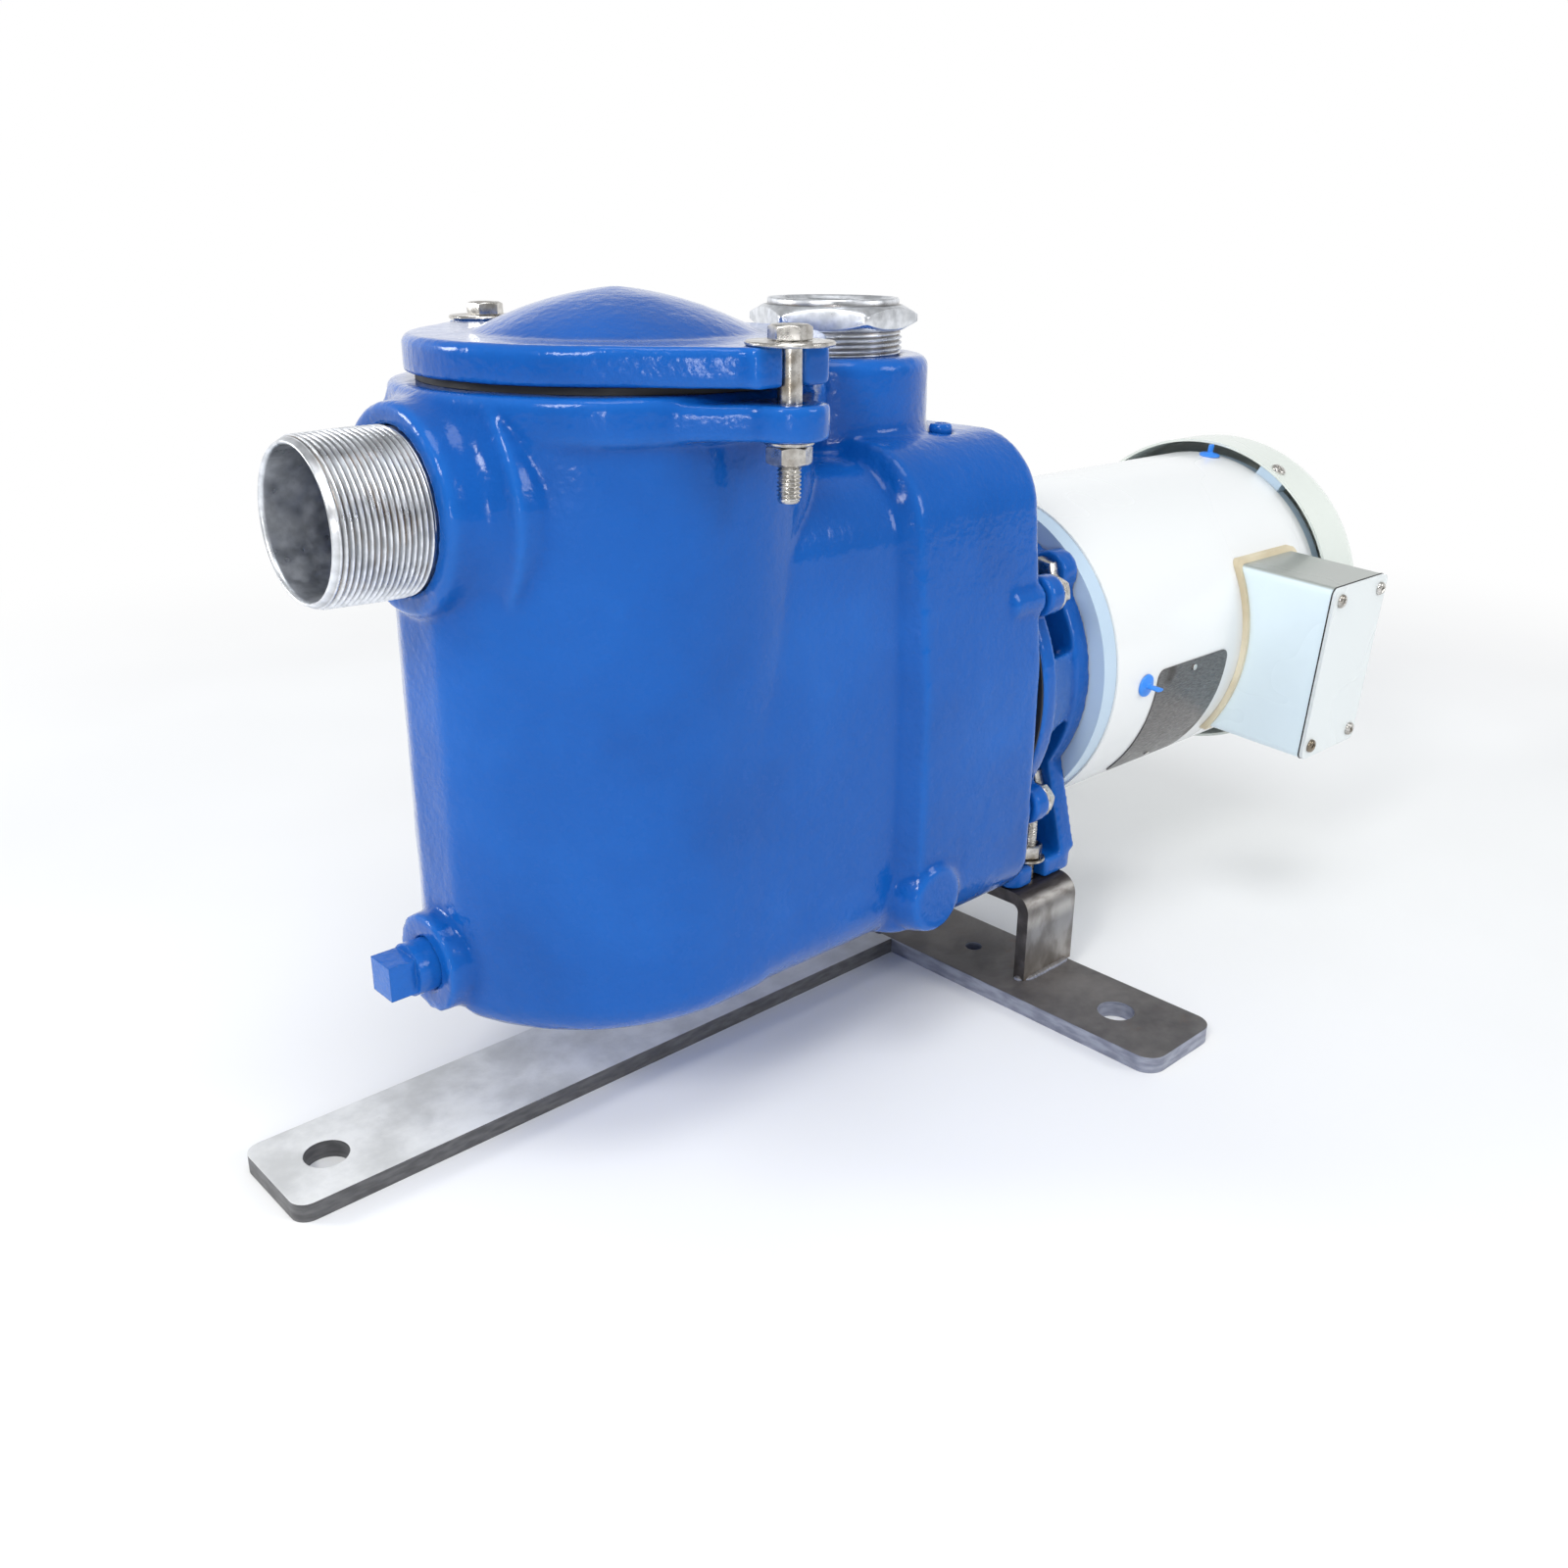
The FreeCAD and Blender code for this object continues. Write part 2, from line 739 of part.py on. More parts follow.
def casing_inside_forms():
    ledge = trap_prism(trap_wall - ledge_wall_bite, ledge_top - basket_ledge_thickness, ledge_top)
    ledge = ledge.cut(cylinder_z(basket_ledge_radius, 0, flange_top, trap_x))
    inner_boss_end = boss_face_x + thread_engagement + boss_inner_lip
    socket = cylinder_x(boss_face_radius, boss_face_x + boss_straight, inner_boss_end, 0, nipple_height)
    roof_cut = block(boss_face_x, inner_boss_end, -boss_face_radius, boss_face_radius, flange_under,
                     nipple_height + boss_face_radius)
    tube_socket = cylinder_x(tube_outer_radius + trap_wall, trap_x + trap_half_width - trap_wall,
                             tube_socket_end_x)
    forms = [ledge, socket.cut(roof_cut), tube_socket]
    for y in (-casing_bolt_y, casing_bolt_y):
        for up in (-casing_bolt_above_shaft, casing_bolt_above_shaft):
            forms.append(cylinder_x(casing_bolt_boss_radius, casing_rear_x - casing_bolt_boss_depth,
                                    casing_rear_x - tiny, y, shaft_height + up))
    return forms


def casing_bores():
    throat_end = boss_face_x + thread_engagement
    bores = [cylinder_x(engaged_radius + thread_fit, boss_face_x - tiny, throat_end, 0, nipple_height),
             cylinder_x(nipple_bore_radius, boss_face_x, throat_end + casing_wall, 0, nipple_height),
             cylinder_x(tube_inner_radius, trap_x, tube_front_x),
             cylinder_x(tube_outer_radius + tube_socket_fit, tube_front_x, tube_socket_end_x + tiny),
             cylinder_x(rear_opening_radius, casing_rear_x - casing_wall - tiny, casing_rear_x + tiny)]
    socket_depth = discharge_top - thread_engagement
    bores.append(cylinder_z(engaged_radius + thread_fit, socket_depth, discharge_top + tiny, discharge_x))
    bores.append(cylinder_z(nipple_bore_radius, shaft_height + chamber_knee, socket_depth, discharge_x))
    bores.append(cylinder_x(drain_plug_radius, drain_boss_face_x - tiny,
                            drain_boss_face_x + drain_boss_depth, 0,
                            drain_height))
    vent_seat = shaft_height + chamber_top
    bores.append(cylinder_z(vent_plug_radius, vent_seat - casing_wall - tiny, vent_seat + tiny, vent_x,
                            vent_y))
    for side in (-1, 1):
        bores.append(cylinder_z(bolt_radius + ear_hole_clearance, ear_under - tiny, flange_top,
                                ear_x, side * ear_y))
        for up in (-casing_bolt_above_shaft, casing_bolt_above_shaft):
            bores.append(cylinder_x(bolt_radius, casing_rear_x - casing_bolt_engagement,
                                    casing_rear_x + tiny,
                                    side * casing_bolt_y, shaft_height + up))
    return bores


def make_pump_body():
    body = casing_outside().cut(casing_hollows())
    body = fused([body] + casing_inside_forms())
    spigot_start_x = casing_rear_x - adapter_spigot_depth - adapter_spigot_clearance
    spigot_way = cylinder_x(rear_opening_radius, spigot_start_x, casing_rear_x + tiny)
    cover_way = cylinder_z(cover_radius + cover_side_clearance, flange_top, discharge_top + tiny, trap_x)
    return body.cut(casing_bores() + [spigot_way, cover_way])


def make_volute():
    # Suction tube, wear plate and scroll in one casting, plugged into the wall behind the trap
    tube = cylinder_x(tube_outer_radius, tube_front_x, wear_plate_x + tiny)
    ring, front = scroll_casing()
    volute = fused([tube, ring, front])
    return volute.cut(cylinder_x(tube_inner_radius, tube_front_x - tiny,
                                 wear_plate_x + wear_plate_thickness + tiny))


def basket_seat():
    return ledge_top + basket_seat_gap


def basket_rim_top():
    return basket_seat() + basket_rim_thickness


def make_basket():
    # Slotted sheet rolled into a cylinder, with a flat rim that hangs on the ledge
    bottom = basket_seat() - basket_depth
    bore = basket_radius - basket_wall
    wall = tube_z(basket_radius, bore, bottom + basket_wall, basket_rim_top(), trap_x)
    rim = tube_z(basket_rim_radius, bore, basket_seat(), basket_rim_top(), trap_x)
    basket = wall.fuse(rim)
    pitch = basket_depth / (basket_slot_rows + 1)
    past = basket_radius + basket_wall
    half = basket_slot_width / 2
    cutters = []
    for row in range(basket_slot_rows):
        z0 = bottom + pitch * (row + 1) - basket_slot_height / 2
        for column in range(basket_slot_columns // 2):
            bar = block(trap_x - past, trap_x + past, -half, half, z0, z0 + basket_slot_height)
            bar.rotate(Vector(trap_x, 0, 0), Vector(0, 0, 1), 180 / basket_slot_columns * (2 * column + 1))
            cutters.append(bar)
    return basket.cut(cutters)


def make_basket_floor():
    bottom = basket_seat() - basket_depth
    return cylinder_z(basket_radius, bottom, bottom + basket_wall, trap_x)


def make_basket_bail():
    # A bent wire handle whose ends stand on the rim
    foot = basket_rim_top()
    span = (basket_radius - basket_wall + basket_rim_radius) / 2
    path = Part.Arc(Vector(trap_x, -span, foot - bail_wire_radius), Vector(trap_x, 0, foot + bail_reach),
                    Vector(trap_x, span, foot - bail_wire_radius)).toShape()
    start = path.tangentAt(path.FirstParameter)
    ring = Part.Wire(Part.makeCircle(bail_wire_radius, path.valueAt(path.FirstParameter), start))
    wire = Part.Wire(path).makePipeShell([ring], True, True)
    past = span + 2 * bail_wire_radius
    below = block(trap_x - past, trap_x + past, -past, past, foot - past, foot)
    return wire.cut(below)


# Cover

def make_cover():
    # Plate with a bevelled rim and a raised dome, hollow underneath
    soft = cover_rim_chamfer
    x = trap_x
    crown = cover_top + dome_rise
    dome_span = dome_radius * dome_middle_share
    outer = [Part.LineSegment(Vector(x, 0, cover_under), Vector(x + cover_radius, 0,
                                                                cover_under)).toShape(),
             Part.LineSegment(Vector(x + cover_radius, 0, cover_under),
                              Vector(x + cover_radius, 0, cover_top - soft)).toShape(),
             Part.LineSegment(Vector(x + cover_radius, 0, cover_top - soft),
                              Vector(x + cover_radius - soft, 0, cover_top)).toShape(),
             Part.LineSegment(Vector(x + cover_radius - soft, 0, cover_top),
                              Vector(x + dome_radius, 0, cover_top)).toShape(),
             Part.Arc(Vector(x + dome_radius, 0, cover_top),
                      Vector(x + dome_span, 0, cover_top + dome_rise * dome_middle_rise_share),
                      Vector(x, 0, crown)).toShape(),
             Part.LineSegment(Vector(x, 0, crown), Vector(x, 0, cover_under)).toShape()]
    plate = Part.Face(Part.Wire(outer)).revolve(Vector(x, 0, 0), Vector(0, 0, 1), 360)
    spigot = cylinder_z(mouth_radius - cover_spigot_clearance, cover_under - cover_spigot_depth,
                        cover_under, x)
    ears = []
    slots = []
    for side in (-1, 1):
        tip = side * cover_ear_reach
        ears.append(block(ear_x - cover_ear_half_width, ear_x + cover_ear_half_width, min(0, tip),
                          max(0, tip),
                          cover_under, cover_top))
        slot_root = side * (ear_y - cover_slot_depth)
        past = side * (ear_y + fender_washer_radius)
        slots.append(block(ear_x - cover_slot_half_width, ear_x + cover_slot_half_width,
                           min(slot_root, past),
                           max(slot_root, past), cover_under - tiny, cover_top + tiny))
        slots.append(cylinder_z(cover_slot_half_width, cover_under - tiny, cover_top + tiny, ear_x,
                                slot_root))
    cover = fused([plate, spigot] + ears)
    edges = [edge for edge in cover.Edges if abs(abs(edge.CenterOfMass.y) - cover_ear_reach) < tiny
             and edge.BoundBox.ZLength > cover_plate_thickness / 2]
    cover = cover.makeFillet(cover_edge_round, edges)
    hollow_rise = cover_top + dome_rise - cover_shell - cover_under + cover_spigot_depth
    hollow_radius = mouth_radius - cover_spigot_clearance - cover_shell
    base = Vector(x, 0, cover_under - cover_spigot_depth)
    shoulder = Vector(x + hollow_radius * hollow_middle_share, 0,
                      base.z + hollow_rise * dome_middle_rise_share)
    bowl = Part.Arc(Vector(x + hollow_radius, 0, base.z), shoulder,
                    Vector(x, 0, base.z + hollow_rise)).toShape()
    under = [bowl, Part.LineSegment(Vector(x, 0, base.z + hollow_rise), base).toShape(),
             Part.LineSegment(base, Vector(x + hollow_radius, 0, base.z)).toShape()]
    hollow = Part.Face(Part.Wire(under)).revolve(Vector(x, 0, 0), Vector(0, 0, 1), 360)
    return cover.cut([hollow] + slots)


def make_cover_gasket():
    return tube_z(gasket_outer_radius, gasket_inner_radius, flange_top,
                  cover_under - gasket_compression_gap, trap_x)


def cover_bolt_seat():
    return cover_top + washer_thickness


def make_cover_bolts():
    z = cover_bolt_seat()
    bolts = []
    for side in (-1, 1):
        y = side * ear_y
        head = hexagon(bolt_across_flats, bolt_head_height, Vector(ear_x, y, z), Vector(0, 0, 1))
        bolts.append(fused([cylinder_z(bolt_radius, z - cover_bolt_length, z, ear_x, y), head]))
    return bolts


def make_cover_bolt_washers():
    return [tube_z(fender_washer_radius, bolt_radius, cover_top, cover_bolt_seat(), ear_x, side * ear_y)
            for side in (-1, 1)]


def make_cover_nut_washers():
    return [tube_z(washer_radius, bolt_radius + washer_bore_clearance, ear_under - washer_thickness,
                   ear_under, ear_x,
                   side * ear_y) for side in (-1, 1)]


def make_cover_nuts():
    top = ear_under - washer_thickness
    nuts = []
    for side in (-1, 1):
        y = side * ear_y
        nut = hexagon(bolt_across_flats, nut_height, Vector(ear_x, y, top - nut_height), Vector(0, 0, 1),
                      cover_nut_turn_angle)
        nuts.append(nut.cut(cylinder_z(bolt_radius + nut_thread_gap, top - nut_height - tiny, top + tiny,
                                       ear_x, y)))
    return nuts


# Pipe fittings and plugs

def make_nipple():
    inner_end = boss_face_x + thread_engagement
    lip = nipple_end_chamfer
    profile = [(nipple_end_x, nipple_bore_radius), (nipple_end_x, nipple_radius - lip),
               (nipple_end_x + lip, nipple_radius), (boss_face_x,
                                                     nipple_radius), (boss_face_x, engaged_radius),
               (inner_end, engaged_radius), (inner_end, nipple_bore_radius)]
    return revolved_x(profile, nipple_height)


def make_bushing():
    thread_bottom = discharge_top - thread_engagement
    hex_base = discharge_top + bushing_thread_exposed
    rim_base = hex_base + bushing_hex_height
    thread = cylinder_z(nipple_radius, discharge_top, hex_base, discharge_x)
    engaged = cylinder_z(engaged_radius, thread_bottom, discharge_top, discharge_x)
    nut = hexagon(bushing_across_flats, bushing_hex_height, Vector(discharge_x, 0, hex_base),
                  Vector(0, 0, 1),
                  bushing_turn_angle)
    corner_round = bushing_across_flats / math.sqrt(3) - bushing_rim_height / 2
    crown = Part.makeCone(corner_round, bushing_rim_radius, bushing_rim_height,
                          Vector(discharge_x, 0, rim_base - bushing_rim_height / 2), Vector(0, 0, 1))
    blank = cylinder_z(corner_round, hex_base, rim_base - bushing_rim_height / 2, discharge_x)
    nut = nut.common(blank.fuse(crown))
    rim = cylinder_z(bushing_rim_radius, rim_base - bushing_rim_height / 2, rim_base + bushing_rim_height,
                     discharge_x)
    rim_top = rim_base + bushing_rim_height
    bore = cylinder_z(bushing_bore_radius, rim_top - bushing_bore_depth, rim_top + tiny, discharge_x)
    throat = cylinder_z(bushing_throat_radius, thread_bottom - tiny, rim_top, discharge_x)
    return fused([thread, engaged, nut, rim]).cut([bore, throat])


def make_drain_plug():
    face = drain_boss_face_x
    collar_end = face - drain_plug_collar
    half = drain_plug_square / 2
    plug = cylinder_x(drain_plug_radius, collar_end, face + drain_plug_engagement, 0, drain_height)
    head = block(collar_end - drain_plug_head, collar_end, -half, half, drain_height - half,
                 drain_height + half)
    return fused([plug, head])


def make_vent_plug():
    seat = shaft_height + chamber_top
    shank = cylinder_z(vent_plug_radius, seat - vent_plug_engagement, seat, vent_x, vent_y)
    head = hexagon(vent_plug_across_flats, vent_plug_head, Vector(vent_x, vent_y, seat), Vector(0, 0, 1))
    return fused([shank, head])


# Motor adapter

def make_casing_gasket():
    return tube_x(adapter_plate_radius - casing_gasket_inset, rear_opening_radius, casing_rear_x,
                  adapter_front_x)


def casing_bolt_places():
    places = []
    for side in (-1, 1):
        for up in (-1, 1):
            places.append((side * casing_bolt_y, shaft_height + up * casing_bolt_above_shaft))
    return places


def face_bolt_places():
    reach = face_bolt_circle_radius * math.cos(math.radians(45))
    return [(side * reach, shaft_height + up * reach) for side in (-1, 1) for up in (-1, 1)]


def adapter_front_plate():
    forms = [cylinder_x(adapter_plate_radius, adapter_front_x, adapter_plate_rear_x)]
    for y, z in casing_bolt_places():
        forms.append(cylinder_x(adapter_lug_radius, adapter_front_x, adapter_plate_rear_x, y, z))
    spigot_radius = rear_opening_radius - adapter_spigot_clearance
    forms.append(cylinder_x(spigot_radius, casing_rear_x - adapter_spigot_depth, adapter_front_x))
    forms.append(cylinder_x(seal_hub_radius, adapter_plate_rear_x,
                            adapter_front_x + seal_hub_length + casing_wall))
    return fused(forms)


def adapter_face_flange():
    forms = [cylinder_x(face_flange_radius, face_flange_front_x, motor_face_x)]
    for y, z in face_bolt_places():
        forms.append(cylinder_x(face_lobe_radius, face_flange_front_x, motor_face_x, y, z))
    flange = fused(forms)
    notches = [edge for edge in flange.Edges
               if edge.BoundBox.XLength > face_flange_thickness - tiny and len(edge.Vertexes) == 2
               and edge.BoundBox.YLength < tiny and edge.BoundBox.ZLength < tiny]
    corners = []
    for edge in notches:
        reach = math.hypot(edge.CenterOfMass.y, edge.CenterOfMass.z - shaft_height)
        if abs(reach - face_flange_radius) < tiny:
            corners.append(edge)
    return flange.makeFillet(face_lobe_blend, corners)


def adapter_barrel():
    # A tapered barrel with four windows, leaving a web on each side, one above and one below
    taper = [(adapter_plate_rear_x - tiny, bell_outer_front - bell_thickness),
             (adapter_plate_rear_x - tiny, bell_outer_front),
             (face_flange_front_x + tiny, bell_outer_rear),
             (face_flange_front_x + tiny, bell_outer_rear - bell_thickness)]
    barrel = revolved_x(taper)
    half_angle = 45 - bell_web_half_angle
    reach = 2 * bell_outer_front
    spread = reach * math.tan(math.radians(half_angle))
    wedge = Part.Face(Part.makePolygon([Vector(adapter_plate_rear_x, 0, shaft_height),
                                        Vector(adapter_plate_rear_x, -spread, shaft_height + reach),
                                        Vector(adapter_plate_rear_x, spread, shaft_height + reach),
                                        Vector(adapter_plate_rear_x, 0, shaft_height)]))
    wedge = wedge.extrude(Vector(face_flange_front_x - adapter_plate_rear_x, 0, 0))
    return barrel.cut([around_shaft(wedge, 45 + 90 * k) for k in range(4)])


def adapter_foot():
    pad = rounded_box(adapter_front_x, motor_face_x, -foot_half_width, foot_half_width, riser_top,
                      riser_top + foot_thickness, bar_corner_radius)
    for side in (-1, 1):
        slot_radius = bolt_radius + foot_slot_clearance
        y = side * foot_bolt_y
        past = side * (foot_half_width + slot_radius)
        pad = pad.cut([cylinder_z(slot_radius, riser_top - tiny, riser_top + foot_thickness + tiny, riser_x,
                                  y),
                       block(riser_x - slot_radius, riser_x + slot_radius, min(y, past), max(y, past),
                             riser_top - tiny, riser_top + foot_thickness + tiny)])
    forms = [pad]
    low = riser_top + foot_thickness - tiny
    for x0, x1, wide in ((adapter_front_x, adapter_plate_rear_x, foot_bolt_y - washer_radius),
                         (face_flange_front_x, motor_face_x, foot_half_width)):
        outline = Part.makePolygon([Vector(x0, -wide, low), Vector(x0, wide, low),
                                    Vector(x0, upright_half_width_top,
                                           shaft_height - upright_top_below_shaft),
                                    Vector(x0, -upright_half_width_top,
                                           shaft_height - upright_top_below_shaft),
                                    Vector(x0, -wide, low)])
        forms.append(Part.Face(outline).extrude(Vector(x1 - x0, 0, 0)))
    return forms


def make_motor_adapter():
    forms = [adapter_front_plate(), adapter_face_flange(), adapter_barrel()] + adapter_foot()
    adapter = fused(forms)
    hub_end = adapter_front_x + seal_hub_length + casing_wall
    cuts = [cylinder_x(rabbet_radius + rabbet_fit, motor_face_x - rabbet_height - rabbet_fit,
                       motor_face_x + tiny),
            cylinder_x(rabbet_radius - bell_thickness, face_flange_front_x - tiny, motor_face_x),
            cylinder_x(seal_chamber_radius, casing_rear_x - adapter_spigot_depth - tiny,
                       seal_seat_x - seal_seat_thickness),
            cylinder_x(seal_seat_radius, seal_seat_x - seal_seat_thickness - tiny, seal_seat_x),
            cylinder_x(seal_seat_bore + shaft_hole_clearance, seal_seat_x - tiny, hub_end + tiny)]
    for y, z in casing_bolt_places():
        cuts.append(cylinder_x(bolt_radius, adapter_front_x - tiny, adapter_plate_rear_x + tiny, y, z))
    for y, z in face_bolt_places():
        cuts.append(cylinder_x(face_bolt_radius, face_flange_front_x - tiny, motor_face_x + tiny, y, z))
    return adapter.cut(cuts)


def make_casing_bolts():
    head_x = adapter_plate_rear_x + washer_thickness
    bolts = []
    for y, z in casing_bolt_places():
        shank = cylinder_x(bolt_radius, casing_rear_x - casing_bolt_engagement, head_x, y, z)
        head = hexagon(bolt_across_flats, bolt_head_height, Vector(head_x, y, z), Vector(1, 0, 0))
        bolts.append(fused([shank, head]))
    return bolts


def make_casing_bolt_washers():
    washers = []
    for y, z in casing_bolt_places():
        disc = cylinder_x(washer_radius, adapter_plate_rear_x, adapter_plate_rear_x + washer_thickness, y,
                          z)
        washers.append(disc.cut(cylinder_x(bolt_radius, adapter_plate_rear_x,
                                           adapter_plate_rear_x + washer_thickness,
                                           y, z)))
    return washers


def make_adapter_bolts():
    bolts = []
    for y, z in face_bolt_places():
        shank = cylinder_x(face_bolt_radius, face_flange_front_x,
                           motor_face_x + face_bolt_engagement - tiny, y, z)
        head = hexagon(face_bolt_head_across, face_bolt_head_height,
                       Vector(face_flange_front_x - face_bolt_head_height, y, z), Vector(1, 0, 0))
        bolts.append(fused([shank, head]))
    return bolts


# Rotating parts

def make_impeller():
    shroud_front = impeller_back_x - impeller_shroud
    vane_front = wear_plate_x + wear_plate_thickness + impeller_front_gap
    disc = cylinder_x(impeller_radius, shroud_front, impeller_back_x)
    hub = cylinder_x(impeller_hub_radius, impeller_nose_x, impeller_back_x)
    vane = cylinder_x(vane_arc_radius + vane_thickness / 2, vane_front, shroud_front + tiny,
                      vane_arc_offset)
    vane = vane.cut(cylinder_x(vane_arc_radius - vane_thickness / 2, vane_front, shroud_front + tiny,
                               vane_arc_offset))
    vane = vane.common(tube_x(impeller_radius, impeller_hub_radius - vane_root_bite, vane_front,
                              shroud_front + tiny))
    upper = block(vane_front, shroud_front + tiny, -impeller_radius, impeller_radius, shaft_height,
                  shaft_height + impeller_radius)
    vane = vane.common(upper)
    vanes = [around_shaft(vane, 360 / vane_count * k) for k in range(vane_count)]
    wheel = fused([disc, hub] + vanes)
    half = key_width / 2
    keyway = block(impeller_back_x - key_length, impeller_back_x + tiny, -half, half, shaft_height,
                   shaft_height + shaft_radius + key_height / 2)
    return wheel.cut([cylinder_x(shaft_radius, impeller_nose_x - tiny, impeller_back_x + tiny), keyway])


def make_impeller_key():
    half = key_width / 2
    return block(impeller_back_x - key_length, impeller_back_x, -half, half,
                 shaft_height + shaft_radius - key_height / 2, shaft_height + shaft_radius + key_height / 2)


def make_impeller_screw():
    washer_front = impeller_nose_x - impeller_washer_thickness
    washer = cylinder_x(impeller_washer_radius, washer_front, impeller_nose_x)
    head = hexagon(bolt_across_flats, impeller_screw_head,
                   Vector(washer_front - impeller_screw_head, 0, shaft_height),
                   Vector(1, 0, 0))
    shank = cylinder_x(impeller_screw_radius, impeller_nose_x, shaft_pump_end_x + thread_engagement)
    return fused([washer, head, shank])


def make_seal_seat():
    return tube_x(seal_seat_radius, seal_seat_bore, seal_seat_x - seal_seat_thickness, seal_seat_x)


def seal_head_rear():
    return seal_seat_x - seal_seat_thickness - seal_face_gap


def make_seal_head():
    rear = seal_head_rear()
    ring = tube_x(seal_head_radius - seal_ring_step, shaft_radius, rear - seal_head_length / 2, rear)
    cup = tube_x(seal_head_radius, shaft_radius, rear - seal_head_length, rear - seal_head_length / 2)
    return fused([ring, cup])


def make_seal_spring():
    start = impeller_back_x + seal_spring_wire
    length = seal_head_rear() - seal_head_length - seal_spring_wire - start
    helix = Part.makeHelix(length / seal_spring_turns, length, seal_spring_radius)
    low = seal_spring_radius - seal_spring_wire
    high = seal_spring_radius + seal_spring_wire
    wire_end = Part.makePolygon([Vector(low, 0, -seal_spring_wire), Vector(high, 0, -seal_spring_wire),
                                 Vector(high, 0, seal_spring_wire), Vector(low, 0, seal_spring_wire),
                                 Vector(low, 0, -seal_spring_wire)])
    coil = Part.Wire(helix.Edges).makePipeShell([wire_end], True, True)
    coil.Placement = FreeCAD.Placement(Vector(start, 0, shaft_height),
                                       FreeCAD.Rotation(Vector(0, 0, 1), Vector(1, 0, 0)))
    return coil


def make_slinger():
    return tube_x(slinger_radius, shaft_radius, slinger_x, slinger_x + slinger_thickness)


def make_motor_shaft():
    front_shoulder = front_bearing_x + bearing_width
    profile = [(shaft_pump_end_x, 0), (shaft_pump_end_x, shaft_radius),
               (front_bearing_x - shaft_end_margin, shaft_radius),
               (front_bearing_x - shaft_end_margin, journal_radius), (front_shoulder, journal_radius),
               (front_shoulder, shaft_body_radius), (rear_bearing_x, shaft_body_radius),
               (rear_bearing_x, journal_radius), (rear_bearing_x + bearing_width, journal_radius),
               (rear_bearing_x + bearing_width, fan_seat_radius), (fan_x + fan_width + shaft_end_margin,
                                                                   fan_seat_radius),
               (fan_x + fan_width + shaft_end_margin, 0)]
    shaft = revolved_x(profile)
    half = key_width / 2
    keyway = block(impeller_back_x - key_length, impeller_back_x, -half, half,
                   shaft_height + shaft_radius - key_height / 2, shaft_height + shaft_radius + tiny)
    tapped = cylinder_x(impeller_screw_radius, shaft_pump_end_x - tiny,
                        shaft_pump_end_x + thread_engagement)
    return shaft.cut([keyway, tapped])


def bearing_race_gap():
    return (bearing_outer_radius - journal_radius - 2 * bearing_ring) / 2


def make_bearing_outer(x):
    return tube_x(bearing_outer_radius, bearing_outer_radius - bearing_ring, x, x + bearing_width)


def make_bearing_inner(x):
    return tube_x(journal_radius + bearing_ring, journal_radius, x, x + bearing_width)


def make_bearing_balls(x):
    # Balls in a thin cage ring, midway between the two races
    ball_radius = bearing_race_gap() - bearing_ball_gap
    circle = bearing_outer_radius - bearing_ring - bearing_race_gap()
    middle = x + bearing_width / 2
    ball = Part.makeSphere(ball_radius, Vector(middle, 0, shaft_height + circle))
    balls = [around_shaft(ball, 360 / ball_count * k) for k in range(ball_count)]
    cage = tube_x(circle + cage_half_wall, circle - cage_half_wall, middle - ball_radius / 2,
                  middle + ball_radius / 2)
    return fused([cage] + balls)


def make_rotor_core():
    return tube_x(stator_bore_radius - air_gap, shaft_body_radius, stator_front_x,
                  stator_front_x + stator_length)


# Motor housing

def shell_bore():
    return shell_radius - shell_wall


def through_bolt_angles():
    return [through_bolt_start_angle + 90 * k for k in range(4)]


def through_bolt_cylinder(radius, x0, x1, degrees):
    return around_shaft(cylinder_x(radius, x0, x1, 0, shaft_height + through_bolt_circle), degrees)


def make_stator_core():
    core = tube_x(shell_bore(), stator_bore_radius, stator_front_x, stator_front_x + stator_length)
    slots = [through_bolt_cylinder(stator_slot_radius, stator_front_x - tiny,
                                   stator_front_x + stator_length + tiny, a)
             for a in through_bolt_angles()]
    return core.cut(slots)


def make_windings():
    rings = []
    for x0 in (stator_front_x - winding_overhang, stator_front_x + stator_length):
        ring = tube_x(winding_outer_radius, winding_inner_radius, x0, x0 + winding_overhang)
        rims = [edge for edge in ring.Edges if edge.Closed]
        rings.append(ring.makeChamfer(winding_chamfer, rims))
    return rings


def make_front_end_bell():
    seat_end = front_bearing_x + bearing_width
    forms = [cylinder_x(end_bell_radius, motor_face_x, shell_front_x),
             cylinder_x(rabbet_radius, motor_face_x - rabbet_height, motor_face_x + tiny),
             tube_x(shell_bore(), shell_bore() - bell_plate, shell_front_x - tiny,
                    shell_front_x + bell_spigot),
             cylinder_x(bearing_outer_radius + bearing_wall, motor_face_x, seat_end)]
    bell = fused(forms)
    bell = bell.cut([cylinder_x(bearing_outer_radius, front_bearing_x, seat_end + tiny),
                     cylinder_x(shaft_radius + shaft_hole_clearance, motor_face_x - rabbet_height - tiny,
                                seat_end)])
    for y, z in face_bolt_places():
        bell = bell.cut(cylinder_x(face_bolt_radius, motor_face_x - tiny,
                                   motor_face_x + face_bolt_engagement, y, z))
    threads = [through_bolt_cylinder(through_bolt_radius, shell_front_x - face_bolt_radius,
                                     shell_front_x + bell_spigot
                                     + tiny, a) for a in through_bolt_angles()]
    return bell.cut(threads)


def rear_plate_x():
    return shell_rear_x + bell_plate


